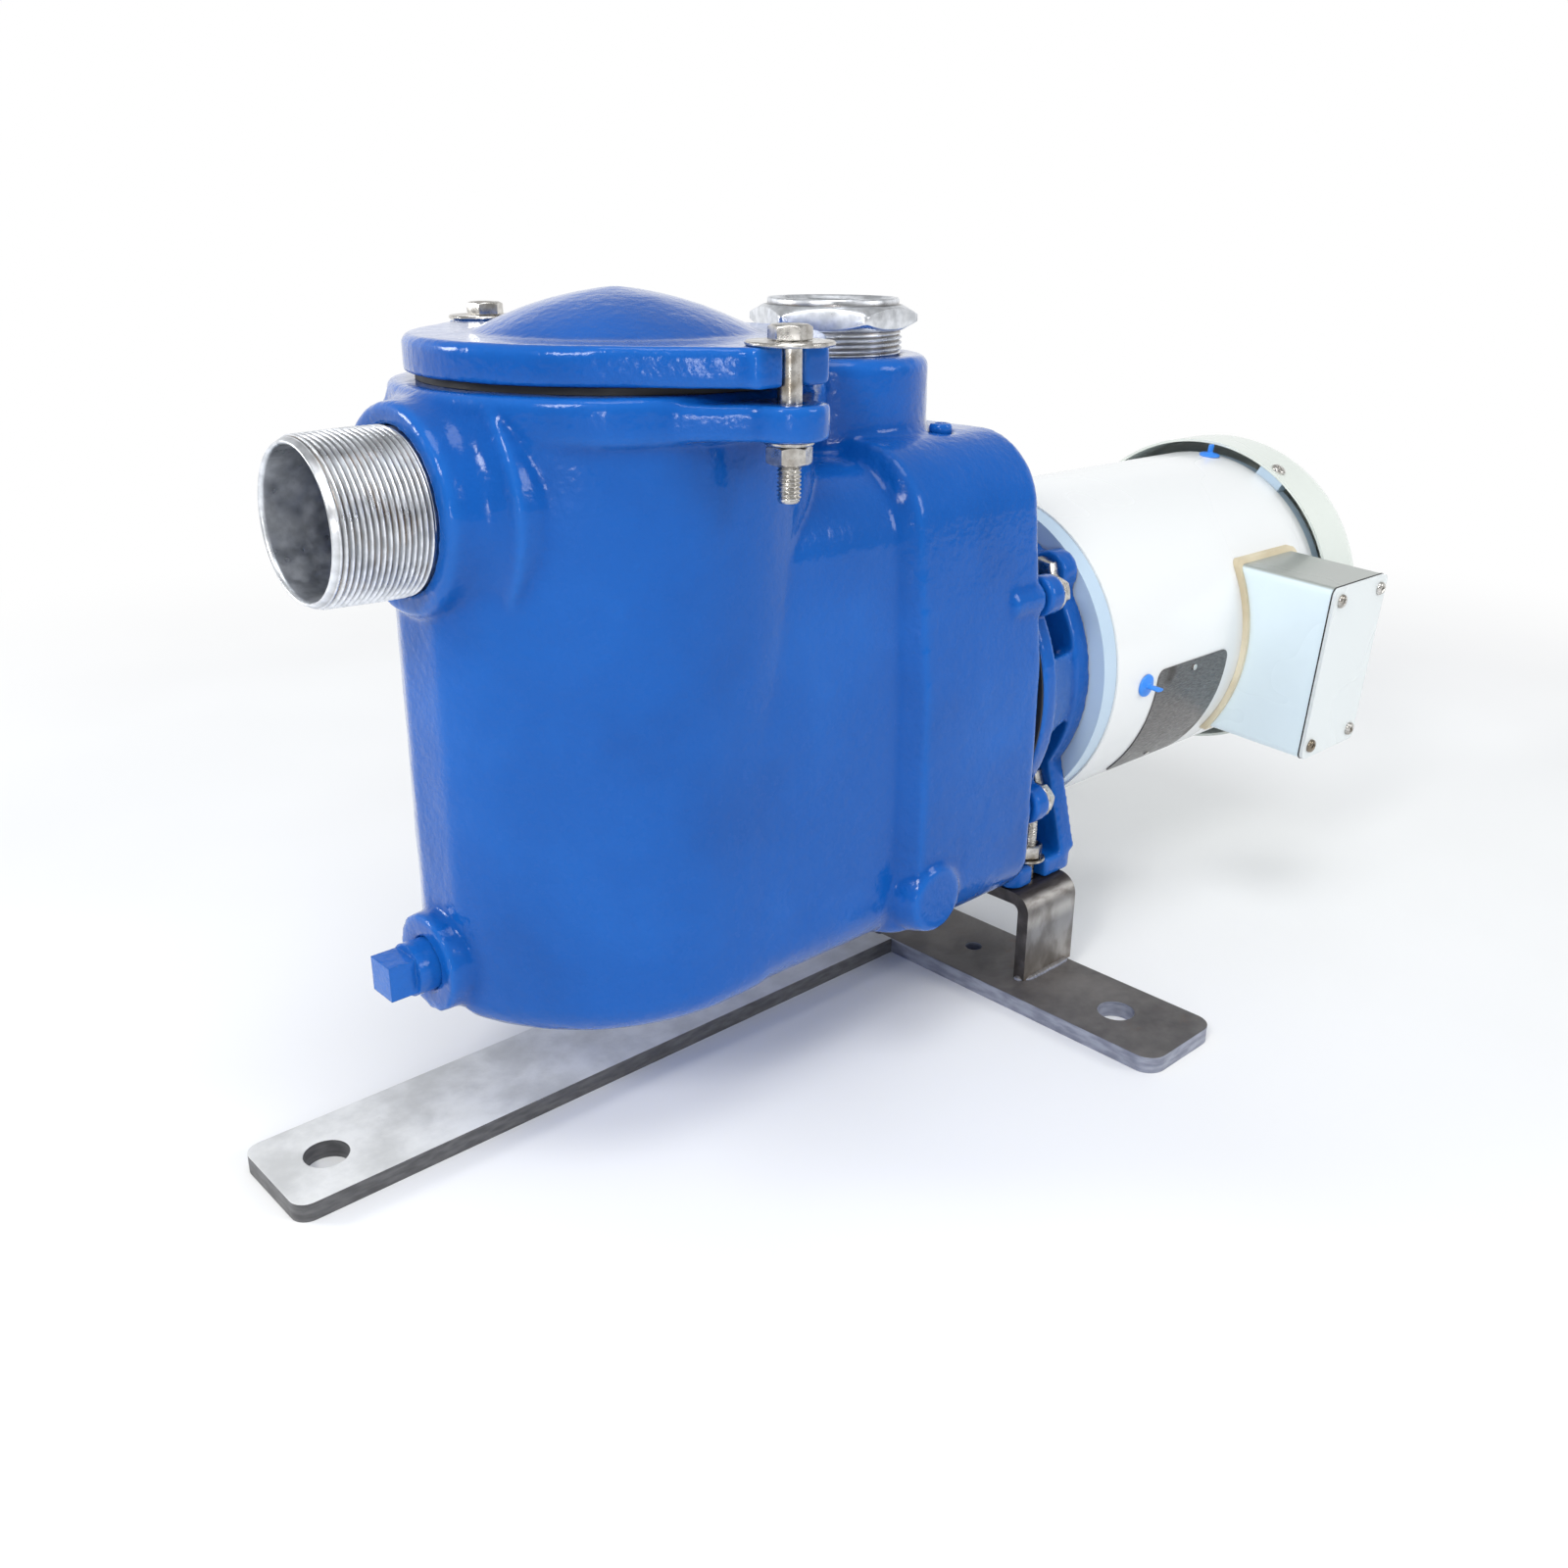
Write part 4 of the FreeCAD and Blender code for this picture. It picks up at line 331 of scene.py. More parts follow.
def zincFinish():
    # galvanised pipe: bright crests, grey roots with a little rust in them
    finish, tree, shader = newFinish("zincPipe", Metallic=1.0)
    spangle = spread(tree, grainNoise(tree, 260, 4), ((0.3, (0.62, 0.645, 0.68)), (0.7, (0.85, 0.875, 0.92))))
    crest = edgeWear(tree, 0.44, 0.53)
    rust = spread(tree, grainNoise(tree, 80, 5), ((0.45, (0.25, 0.25, 0.26)), (0.72, (0.27, 0.22, 0.18))))
    gloss = spread(tree, grainNoise(tree, 120, 3), ((0.3, 0.26), (0.7, 0.46)))
    paintOn(tree, shader, blendColours(tree, crest, rust, spangle), gloss)
    stackBumps(tree, shader, (grainNoise(tree, 700, 3), 0.2, 0.12), edge=0.2)
    return finish


# the bar's bright top is a painted highlight and its dark edges are painted shade
barLook = {"metal": 0.12, "rough": (0.34, 0.5), "rustFrom": 0.66,
           "top": ((0.55, 0.555, 0.55), (0.80, 0.805, 0.80)),
           "edge": ((0.07, 0.07, 0.074), (0.13, 0.13, 0.135)),
           "rust": ((0.25, 0.2, 0.16), (0.36, 0.31, 0.27))}
# the plate's pale bluish edges are painted light with a painted blue reflection
plateLook = {"metal": 0.45, "rough": (0.36, 0.6), "rustFrom": 0.6,
             "top": ((0.095, 0.088, 0.088), (0.185, 0.172, 0.165)),
             "edge": ((0.22, 0.235, 0.30), (0.36, 0.38, 0.46)),
             "rust": ((0.15, 0.10, 0.075), (0.2, 0.14, 0.10))}


def flatSteelFinish(name, look):
    # hot-rolled flat bar: mottled scale on the broad faces, a cooler sawn edge, rust in places; the split
    # between faces that point up and edges also carries painted light and shade
    finish, tree, shader = newFinish(name, Metallic=look["metal"])
    (topDark, topLight), (edgeDark, edgeLight), (rustDark, rustLight) = look["top"], look["edge"], look["rust"]
    scale = spread(tree, grainNoise(tree, 34, 7, roughness=0.6), ((0.3, topDark), (0.7, topLight)))
    rustTone = spread(tree, grainNoise(tree, 160, 4), ((0.35, rustDark), (0.7, rustLight)))
    rustHere = spread(tree, grainNoise(tree, 48, 8, roughness=0.68),
                      ((look["rustFrom"], 0.0), (look["rustFrom"] + 0.14, 0.8)))
    broad = blendColours(tree, rustHere, scale, rustTone)
    # faces that point up and the edges get separate tones, partly the steel's own and partly painted light and
    # shade
    upward = spread(tree, facing(tree, "Z"), ((0.3, 0.0), (0.75, 1.0)))
    sawnEdgeLitAndShaded = spread(tree, grainNoise(tree, 110, 4, (1, 1, 4)), ((0.3, edgeDark), (0.7, edgeLight)))
    gloss = spread(tree, grainNoise(tree, 70, 4), ((0.3, look["rough"][0]), (0.7, look["rough"][1])))
    paintOn(tree, shader, blendColours(tree, upward, sawnEdgeLitAndShaded, broad), gloss)
    rolled, grain = grainNoise(tree, 45, 4), grainNoise(tree, 420, 4)
    stackBumps(tree, shader, (rolled, 0.3, 0.6), (grain, 0.3, 0.14), edge=0.8)
    return finish


# heights in mm; the bands go from the riser's foot at 0 to its top at 1
riserLook = {"foot": 7.9, "top": 53.2,
             # the bands by height are partly the steel's own tones and partly painted light and shade, with a
             # painted highlight at the bend
             "bandsWithBendHighlight": ((0.0, (0.24, 0.20, 0.17)), (0.1, (0.36, 0.34, 0.32)), (0.55, (0.27, 0.27, 0.28)),
                       (0.7, (0.44, 0.43, 0.42)), (0.82, (0.24, 0.23, 0.225)), (0.9, (0.48, 0.46, 0.44)),
                       (0.97, (0.055, 0.045, 0.045))),
             "streaks": ((0.34, (0.45, 0.42, 0.40)), (0.62, (1.0, 1.0, 1.0))),
             "sheared": ((0.3, (0.05, 0.045, 0.045)), (0.7, (0.11, 0.10, 0.10)))}


def riserSteelFinish():
    # bent strap: dark brown scale on top and bright drawn steel on the legs; the bands by height carry painted
    # light and shade, with a painted highlight at the bend
    finish, tree, shader = newFinish("riserSteel", Metallic=0.5)
    place = tree.nodes.new("ShaderNodeTexCoord")
    height = tree.nodes.new("ShaderNodeMapRange")
    height.inputs["From Min"].default_value = riserLook["foot"] * mm
    height.inputs["From Max"].default_value = riserLook["top"] * mm
    tree.links.new(alongAxis(tree, place.outputs["Object"], "Z"), height.inputs["Value"])
    bandsWithBendHighlight = spread(tree, height.outputs["Result"], riserLook["bandsWithBendHighlight"])
    streaks = spread(tree, grainNoise(tree, 90, 6, (1, 5, 0.6)), riserLook["streaks"])
    worked = blendColours(tree, 0.85, bandsWithBendHighlight, streaks, "MULTIPLY")
    # the sheared edges that face along the shaft stay dark
    lengthwise = mathNode(tree, "ABSOLUTE", facing(tree, "X"))
    sheared = spread(tree, lengthwise, ((0.5, 0.0), (0.8, 1.0)))
    edgeTone = spread(tree, grainNoise(tree, 120, 4), riserLook["sheared"])
    gloss = spread(tree, grainNoise(tree, 80, 4), ((0.3, 0.3), (0.7, 0.52)))
    paintOn(tree, shader, blendColours(tree, sheared, worked, edgeTone), gloss)
    drawn, grain = grainNoise(tree, 60, 4), grainNoise(tree, 420, 4)
    stackBumps(tree, shader, (drawn, 0.3, 0.5), (grain, 0.3, 0.14), edge=0.8)
    return finish


finishes = {
    "blue_enamel": blueEnamelFinish(),
    "white_enamel": whiteEnamelFinish("whiteEnamel", (0.82, 0.835, 0.835), (0.81, 0.823, 0.825)),
    # the bell's pale blue is the white enamel painted as in shade, with a painted blue reflection
    "bell_enamel": whiteEnamelFinish("bellEnamelShadedBlue", (0.51, 0.645, 0.775), (0.49, 0.625, 0.76)),
    "zinc_pipe": zincFinish(),
    "stainless_hardware": metalFinish("stainlessHardware", (0.48, 0.465, 0.44), (0.72, 0.70, 0.665),
                                      (0.2, 0.36), dirtAndCornerShade=(0.26, 0.22, 0.17)),
    "raw_steel": flatSteelFinish("plateSteel", plateLook),
    "black_rubber": plainFinish("blackRubber", (0.008, 0.008, 0.01), (0.02, 0.02, 0.022), (0.45, 0.65)),
    "cream_gasket": plainFinish("creamGasket", (0.62, 0.53, 0.36), (0.80, 0.73, 0.56), (0.5, 0.7)),
    "nameplate_metal": metalFinish("nameplateMetal", (0.12, 0.115, 0.115), (0.23, 0.22, 0.215), (0.26, 0.42),
                                   300, (1, 8, 8), 0.08, dirtAndCornerShade=(0.09, 0.08, 0.072)),
    "blue_plug": plainFinish("bluePlug", (0.02, 0.2, 0.72), (0.035, 0.26, 0.85), (0.3, 0.42), bump=0.08),
    "stainless_sheet": metalFinish("stainlessSheet", (0.52, 0.52, 0.51), (0.68, 0.68, 0.67), (0.2, 0.34), 250),
    "impeller_bronze": metalFinish("impellerBronze", (0.48, 0.28, 0.1), (0.68, 0.42, 0.17), (0.28, 0.46), 200,
                                   bump=0.25),
    "shaft_steel": metalFinish("shaftSteel", (0.5, 0.5, 0.5), (0.66, 0.66, 0.66), (0.16, 0.28), 300, (8, 1, 1)),
    "bearing_steel": metalFinish("bearingSteel", (0.6, 0.6, 0.61), (0.72, 0.72, 0.73), (0.1, 0.18)),
    "lamination_steel": metalFinish("laminationSteel", (0.18, 0.18, 0.19), (0.34, 0.34, 0.36), (0.35, 0.5), 350,
                                    (12, 1, 1), 0.4),
    "copper_winding": metalFinish("copperWinding", (0.42, 0.16, 0.06), (0.66, 0.3, 0.13), (0.25, 0.4), 240,
                                  (6, 1, 1), 0.5),
    "seal_ceramic": plainFinish("sealCeramic", (0.7, 0.68, 0.62), (0.8, 0.78, 0.73), (0.18, 0.28), bump=0.05),
    "fan_plastic": plainFinish("fanPlastic", (0.012, 0.012, 0.013), (0.03, 0.03, 0.032), (0.42, 0.55)),
}
# nodes whose finish differs from the rest of their slot
ownFinishes = {
    "base_bar": flatSteelFinish("barSteel", barLook),
    "riser_bridge": riserSteelFinish(),
    # the box's copy of the white enamel is painted bluer and brighter: painted light
    "conduit_box": whiteEnamelFinish("boxEnamelPaintedLight", (0.79, 0.92, 0.98), (0.77, 0.90, 0.97),
                                     faceUpTone=(0.33, 0.355, 0.33)),
    # the fan cover's copy of the white enamel is painted greyer: painted shade
    "fan_cover": whiteEnamelFinish("fanCoverEnamelPaintedShade", (0.72, 0.76, 0.71), (0.70, 0.745, 0.695)),
    # the lid's copy of the white enamel is painted a little greyer: painted shade
    "conduit_cover": whiteEnamelFinish("lidEnamelPaintedShade", (0.765, 0.81, 0.815), (0.75, 0.795, 0.80)),
}
print("finishes made:", len(finishes))

# Castings: the body, the cover and the adapter get their cast corners here

castLooks = {
    "pump_body": {"name": "castBody", "voxel": 1.6, "inside": 8.0, "outside": 2.2, "passes": 60, "lumps": 0.16,
                  "tight": 1.8, "crisp": 1.3,
                  "zones": (((-280, -110, 281), (-90, 110, 310)), ((-108, -100, 52), (-58, -74, 104)))},
    "trap_cover": {"name": "castCover", "voxel": 1.3, "inside": 6.0, "outside": 1.6, "passes": 40,
                   "lumps": 0.10},
    "motor_adapter": {"name": "castAdapter", "voxel": 1.2, "inside": 4.0, "outside": 1.6, "passes": 34,
                      "lumps": 0.10},
}
castSteps = {"settle": 0.5, "pull": 0.8, "polish": 0.35, "broadLumps": 55, "fineLumps": 130, "quickVoxel": 1.6}
trapLook = {"x": -184.35, "sideX": -192.35, "half": 75.0, "frontRadius": 90.2}
flangeLook = {"overhang": 4.5, "reach": 86.5, "within": 60.0, "step": 0.1, "steps": 120,
              "low": 287.5, "high": 303.5, "soft": 1.6}
flangeEar = {"low": 288.5, "high": 301.0, "soft": 1.2,
             "plan": ((-238, 59), (-197.2, 95.5), (-169.2, 95.5), (-131, 59), (-150, 20), (-220, 20))}
coverEar = {"low": 306.2, "high": 319.8, "soft": 1.4,
            "plan": ((-239.2, 58.2), (-201.2, 94.0), (-165.2, 94.0), (-127.8, 56.6), (-150, 20), (-220, 20))}
blindBoss = {"x": -82.4, "rise": -73.0, "sides": 72,
             "profile": ((18.0, 68.0), (17.2, 79.0), (14.9, 86.2), (13.9, 87.0))}


def plateShell(plan, low, high, soft):
    # a plate with a chamfer all round; plan is a convex outline in mm
    plan = np.array(plan, float)
    middle = plan.mean(0)
    away = plan - middle
    shrink = 1 - soft / np.linalg.norm(away, axis=1)[:, None]
    inner = middle + away * shrink
    rings = [np.column_stack([outline * mm, np.full(len(plan), z * mm)])
             for outline, z in ((inner, low), (plan, low + soft), (plan, high - soft), (inner, high))]
    return skinRings(rings)


def flangeOutline():
    # the vessel's outline grown all round, but no further from the lid's middle than its reach
    trap, look = trapLook, flangeLook
    sweepRadius = trap["frontRadius"] + look["overhang"]
    across = trap["frontRadius"] - trap["half"]
    outline = []
    for angle in roundAngles(look["steps"]):
        dx, dy = math.cos(angle), math.sin(angle)
        reach = 0.0
        for r in np.arange(look["within"], look["reach"] + look["step"] / 2, look["step"]):
            x, y = trap["x"] + r * dx, abs(r * dy)
            if x > trap["x"]:
                inside = r <= trap["half"] + look["overhang"]
            elif x > trap["sideX"]:
                inside = y <= trap["half"] + look["overhang"]
            else:
                inside = math.hypot(x - trap["sideX"], y + across) <= sweepRadius
            if inside:
                reach = r
        outline.append((trap["x"] + reach * dx, reach * dy))
    return outline


def castAdditions(node):
    shells = []
    if node == "pump_body":
        look = flangeLook
        shells.append(plateShell(flangeOutline(), look["low"], look["high"], look["soft"]))
        boss = blindBoss
        profile = [(radius * mm, reach * mm) for radius, reach in boss["profile"]]
        rings = profileRings(roundAngles(boss["sides"]), profile)
        shells.append(aimed(skinRings(rings), (boss["x"] * mm, 0, shaftHeight + boss["rise"] * mm), (0, -1, 0)))
    ear = {"pump_body": flangeEar, "trap_cover": coverEar}.get(node)
    if ear:
        for side in (-1, 1):
            plan = [(x, side * y) for x, y in ear["plan"]]
            shells.append(plateShell(plan, ear["low"], ear["high"], ear["soft"]))
    return shells


def voxelCopy(node, size):
    # the node and its additions, made into one skin of small even squares
    grid = bmesh.new()
    grid.from_mesh(cadNodes[node].data)
    bmesh.ops.remove_doubles(grid, verts=grid.verts, dist=0.001 * mm)
    for points, faces in castAdditions(node):
        corners = [grid.verts.new(tuple(p)) for p in points]
        added = [grid.faces.new([corners[v] for v in face]) for face in faces]
        bmesh.ops.recalc_face_normals(grid, faces=added)
    mesh = bpy.data.meshes.new(node + "Draft")
    grid.to_mesh(mesh)
    grid.free()
    draft = bpy.data.objects.new(node + "Draft", mesh)
    bpy.context.scene.collection.objects.link(draft)
    remesh = draft.modifiers.new("voxels", "REMESH")
    remesh.mode = "VOXEL"
    remesh.voxel_size = size
    bpy.context.view_layer.update()
    made = bpy.data.meshes.new_from_object(draft.evaluated_get(bpy.context.evaluated_depsgraph_get()))
    bpy.data.objects.remove(draft)
    return made


def vertexNormals(places, quads):
    # the summed normals of the squares round each vertex
    across = places[quads[:, 2]] - places[quads[:, 0]]
    along = places[quads[:, 3]] - places[quads[:, 1]]
    flat = np.cross(across, along)
    normals = np.zeros_like(places)
    for k in range(3):
        for corner in range(4):
            normals[:, k] += np.bincount(quads[:, corner], flat[:, k], len(places))
    return normals / np.maximum(np.linalg.norm(normals, axis=1), 1e-12)[:, None]


def castCorners(mesh, size, look):
    # moves the mesh towards its neighbours' middle only where a corner is sharper than the cast one
    count = len(mesh.vertices)
    places = np.zeros(count * 3)
    mesh.vertices.foreach_get("co", places)
    places = places.reshape(-1, 3)
    pairs = np.zeros(len(mesh.edges) * 2, np.int32)
    mesh.edges.foreach_get("vertices", pairs)
    a, b = pairs.reshape(-1, 2).T
    quads = np.array([tuple(f.vertices) if len(f.vertices) == 4 else (*f.vertices, f.vertices[2])
                      for f in mesh.polygons], np.int32)
    share = 1.0 / np.maximum(np.bincount(a, minlength=count) + np.bincount(b, minlength=count), 1)

    def neighbours(values):
        return (np.bincount(a, values[b], count) + np.bincount(b, values[a], count)) * share

    def pull(values):
        return np.stack([neighbours(values[:, k]) for k in range(3)], axis=1) - values

    for _ in range(2):
        places += castSteps["settle"] * pull(places)
    # the cast radius of hollow and of proud corners, smaller in the zones round the bolted rim and the boss
    inside = np.full(count, look["inside"] * mm)
    outside = np.full(count, look["outside"] * mm)
    for low, high in look.get("zones", ()):
        near = ((places > np.array(low) * mm) & (places < np.array(high) * mm)).all(1)
        inside[near] = look["tight"] * mm
        outside[near] = look["crisp"] * mm
    # how far such a corner holds a vertex from its neighbours' middle
    insideLimit = size * size / (4 * inside)
    outsideLimit = size * size / (4 * outside)
    for _ in range(look["passes"]):
        move = pull(places)
        lift = (move * vertexNormals(places, quads)).sum(1)
        for _ in range(2):
            lift = 0.5 * lift + 0.5 * neighbours(lift)
        hollow = np.clip((lift - insideLimit) / insideLimit, 0, 1)
        ridge = np.clip((-lift - outsideLimit) / outsideLimit, 0, 1)
        weight = np.maximum(hollow, ridge)
        for _ in range(2):
            weight = np.maximum(weight, neighbours(weight))
        places += castSteps["pull"] * weight[:, None] * move
    for _ in range(2):
        places += castSteps["polish"] * pull(places)
    normals = vertexNormals(places, quads)
    broad, fine = castSteps["broadLumps"], castSteps["fineLumps"]
    lumps = np.array([noise.noise(Vector(p) * broad) + 0.5 * noise.noise(Vector(p) * fine) for p in places])
    places += normals * (lumps * look["lumps"] * mm)[:, None]
    mesh.vertices.foreach_set("co", places.ravel())
    mesh.update()


def makeCasting(node):
    look = castLooks[node]
    size = look["voxel"] * mm * 1.0
    mesh = voxelCopy(node, size)
    castCorners(mesh, size, look)
    mesh.shade_smooth()
    body = "cover" if node == "trap_cover" else "frame"
    placePiece(look["name"], mesh, body, "blue_enamel", (node,))
    print("casting", look["name"], len(mesh.polygons), "faces")


for node in castLooks:
    makeCasting(node)

# Bolts, nuts and washers

inchBolt = {"across": 12.7, "head": 5.4, "radius": 3.97, "pitch": 1.41, "depth": 0.72, "sides": 48}
earBolt = {"across": 13.3, "head": 5.4, "radius": 4.3, "pitch": 1.41, "depth": 0.75, "sides": 48}
earNut = {**earBolt, "across": 14.3}
faceBolt = {"across": 14.29, "head": 6.2, "radius": 4.76, "pitch": 1.59, "depth": 0.85, "sides": 48}


def boltShell(kind, look):
    # head above z 0, shank below it
    angles = roundAngles(kind["sides"])
    across, head, radius, depth, pitch = inMm(kind, "across", "head", "radius", "depth", "pitch")
    length, threaded = inMm(look, "length", "threaded")
    corner = hexRadii(across, angles)
    crown = 0.455 * across
    drop = (corner - crown) * 0.5
    rings = profileRings(angles, [
        (0.30 * across, head - 0.25 * mm), (0.36 * across, head), (crown, head),
        (corner - 0.12 * mm, head - drop), (corner, head - drop - 0.25 * mm),
        (corner, 0.45 * mm), (corner - 0.15 * mm, 0.3 * mm), (crown, 0.3 * mm), (crown - 0.1 * mm, 0.0),
        (radius, 0.0), (radius, -(length - threaded)),
    ])
    start, end = -(length - threaded) - 0.2 * mm, -length + 1.0 * mm
    rings += threadRings(radius, depth, pitch, start, end, angles, 1.2 * mm)
    rings += profileRings(angles, [(radius - depth - 0.2 * mm, -length + 0.1 * mm), (0.6 * radius, -length)])
    return skinRings(rings)


def nutShell(kind, height):
    angles = roundAngles(kind["sides"])
    across, bore = kind["across"] * mm, (kind["radius"] + 0.03) * mm
    corner = hexRadii(across, angles)
    crown = 0.46 * across
    drop = (corner - crown) * 0.55
    rings = profileRings(angles, [
        (bore, 0.0), (bore + 0.7 * mm, 0.0), (crown, 0.0),
        (corner, drop), (corner, height - drop), (crown, height),
        (bore + 0.9 * mm, height), (bore, height - 0.7 * mm),
    ])
    return skinRings(rings, closedLoop=True)


washerSizes = {"thickness": 1.6, "wide": 15.4, "narrow": 8.7, "bore": 4.4}


def washerShell(width, sides=64):
    angles = roundAngles(sides)
    inner, outer, thickness = inMm(washerSizes, "bore", width, "thickness")
    soft = 0.3 * thickness
    rings = profileRings(angles, [
        (inner, 0.0), (outer - soft, 0.0), (outer, soft),
        (outer, thickness - soft), (outer - soft, thickness),
        (inner + soft, thickness), (inner, thickness - soft),
    ])
    return skinRings(rings, closedLoop=True)


def steelPiece(name, shells, node, body="frame"):
    makePiece(name, shells, body, "stainless_hardware", (node,))


# lengths in mm and turns in degrees; a bolt's seat or head face is the underside of its head
coverBolt = {"x": -183.2, "y": 95.5, "seat": 321.4, "length": 54.5, "threaded": 22.0, "turns": (12, 40),
             "nutFoot": 280.15, "nutHeight": 6.75, "nutTurn": 17, "washerFoot": 286.9}


def coverFasteners():
    look = coverBolt
    bolts, wide, nuts, narrow = [], [], [], []
    for side, turn in zip((-1, 1), look["turns"]):
        x, y, seat = look["x"] * mm, side * look["y"] * mm, look["seat"] * mm
        bolts.append(aimed(boltShell(earBolt, look), (x, y, seat), turn=math.radians(turn)))
        wide.append(aimed(washerShell("wide", 80), (x, y, seat - washerSizes["thickness"] * mm)))
        nut = nutShell(earNut, look["nutHeight"] * mm)
        nuts.append(aimed(nut, (x, y, look["nutFoot"] * mm), turn=math.radians(turn + look["nutTurn"])))
        narrow.append(aimed(washerShell("narrow"), (x, y, look["washerFoot"] * mm)))
    steelPiece("coverBolts", bolts, "cover_bolts", "cover")
    steelPiece("coverWideWashers", wide, "cover_bolt_washers", "cover")
    steelPiece("coverNuts", nuts, "cover_nuts")
    steelPiece("coverNutWashers", narrow, "cover_nut_washers")


footBolt = {"x": 8.8, "y": 66.0, "headFace": 46.85, "length": 42.9, "threaded": 32.0, "washerFoot": 63.2,
            "nutFoot": 64.8, "nutHeight": 6.75, "nutTurn": 25}


def footFasteners():
    look = footBolt
    bolts, washers, nuts = [], [], []
    for side in (-1, 1):
        x, y = look["x"] * mm, side * look["y"] * mm
        bolts.append(aimed(boltShell(inchBolt, look), (x, y, look["headFace"] * mm), (0, 0, -1)))
        washers.append(aimed(washerShell("narrow"), (x, y, look["washerFoot"] * mm)))
        nut = nutShell(inchBolt, look["nutHeight"] * mm)
        nuts.append(aimed(nut, (x, y, look["nutFoot"] * mm), turn=math.radians(look["nutTurn"])))
    steelPiece("footBolts", bolts, "foot_bolts")
    steelPiece("footWashers", washers, "foot_washers")
    steelPiece("footNuts", nuts, "foot_nuts")


# turns in radians here
casingBolt = {"y": 75.0, "rise": 51.0, "headFace": 1.25, "length": 26.6, "threaded": 20.0, "washerFoot": -0.35,
              "turn": 0.3}
motorBolt = {"circle": 74.6, "headFace": 26.35, "length": 22.9, "threaded": 18.0, "turn": 0.2}


def adapterFasteners():
    bolts, washers, motorBolts = [], [], []
    reach = motorBolt["circle"] * mm * math.sqrt(0.5)
    for sideY in (-1, 1):
        for sideZ in (-1, 1):
            y = sideY * casingBolt["y"] * mm
            z = shaftHeight + sideZ * casingBolt["rise"] * mm
            place = (casingBolt["headFace"] * mm, y, z)
            turn = casingBolt["turn"] * sideZ
            bolts.append(aimed(boltShell(inchBolt, casingBolt), place, (1, 0, 0), turn))
            washers.append(aimed(washerShell("narrow"), (casingBolt["washerFoot"] * mm, y, z), (1, 0, 0)))
            place = (motorBolt["headFace"] * mm, sideY * reach, shaftHeight + sideZ * reach)
            turn = motorBolt["turn"] * sideY
            motorBolts.append(aimed(boltShell(faceBolt, motorBolt), place, (-1, 0, 0), turn))
    steelPiece("casingBolts", bolts, "casing_bolts")
    steelPiece("casingBoltWashers", washers, "casing_bolt_washers")
    steelPiece("motorFaceBolts", motorBolts, "adapter_bolts")


coverFasteners()
footFasteners()
adapterFasteners()
print("bolts, nuts and washers made")

# Pipe fittings

# a tapered thread: the crest grows by one part in taper, from tip to full
nippleLook = {"end": -320.0, "length": 55.65, "free": 36.5, "rise": 112.0, "tip": 29.35, "full": 30.12,
              "taper": 32, "engaged": 29.38, "bore": 26.25, "lip": 2.2, "pitch": 2.209, "depth": 1.35,
              "sides": 160}


def suctionNipple():
    look = nippleLook
    angles = roundAngles(look["sides"])
    length, bore, lip, tip, full = inMm(look, "length", "bore", "lip", "tip", "full")
    free, engaged, depth, pitch = inMm(look, "free", "engaged", "depth", "pitch")

    def crest(height):
        return min(full, tip + height / look["taper"])

    rings = profileRings(angles, [
        (engaged, length), (bore, length), (bore, 20 * mm), (bore, 2.0 * mm), (bore + 0.15 * mm, 0.9 * mm),
        (bore + 0.7 * mm, 0.1 * mm), (bore + 0.95 * mm, 0.0), (bore + 1.2 * mm, 0.1 * mm),
        (bore + 1.6 * mm, 0.6 * mm), (tip - 1.0 * mm, lip),
    ])
    rings += threadRings(crest, depth, pitch, lip + 0.3 * mm, free, angles, 1.0 * mm, 9)
    rings.append(ringAt(engaged, free + 0.1 * mm, angles))
    shell = skinRings(rings, closedLoop=True)
    centre = (look["end"] * mm, 0, shaftHeight + look["rise"] * mm)
    makePiece("suctionNipple", [aimed(shell, centre, (1, 0, 0))], "frame", "zinc_pipe", ("suction_nipple",), 60)


bushingLook = {"x": -68.85, "foot": 287.5, "seat": 306.6, "thread": 316.5, "hexTop": 326.5, "rimTop": 329.5,
               "across": 63.5, "radius": 30.15, "engaged": 29.38, "bore": 22.8, "throat": 21.6, "rim": 28.5,
               "pitch": 2.209, "depth": 1.35, "turn": 8.0, "sides": 144}


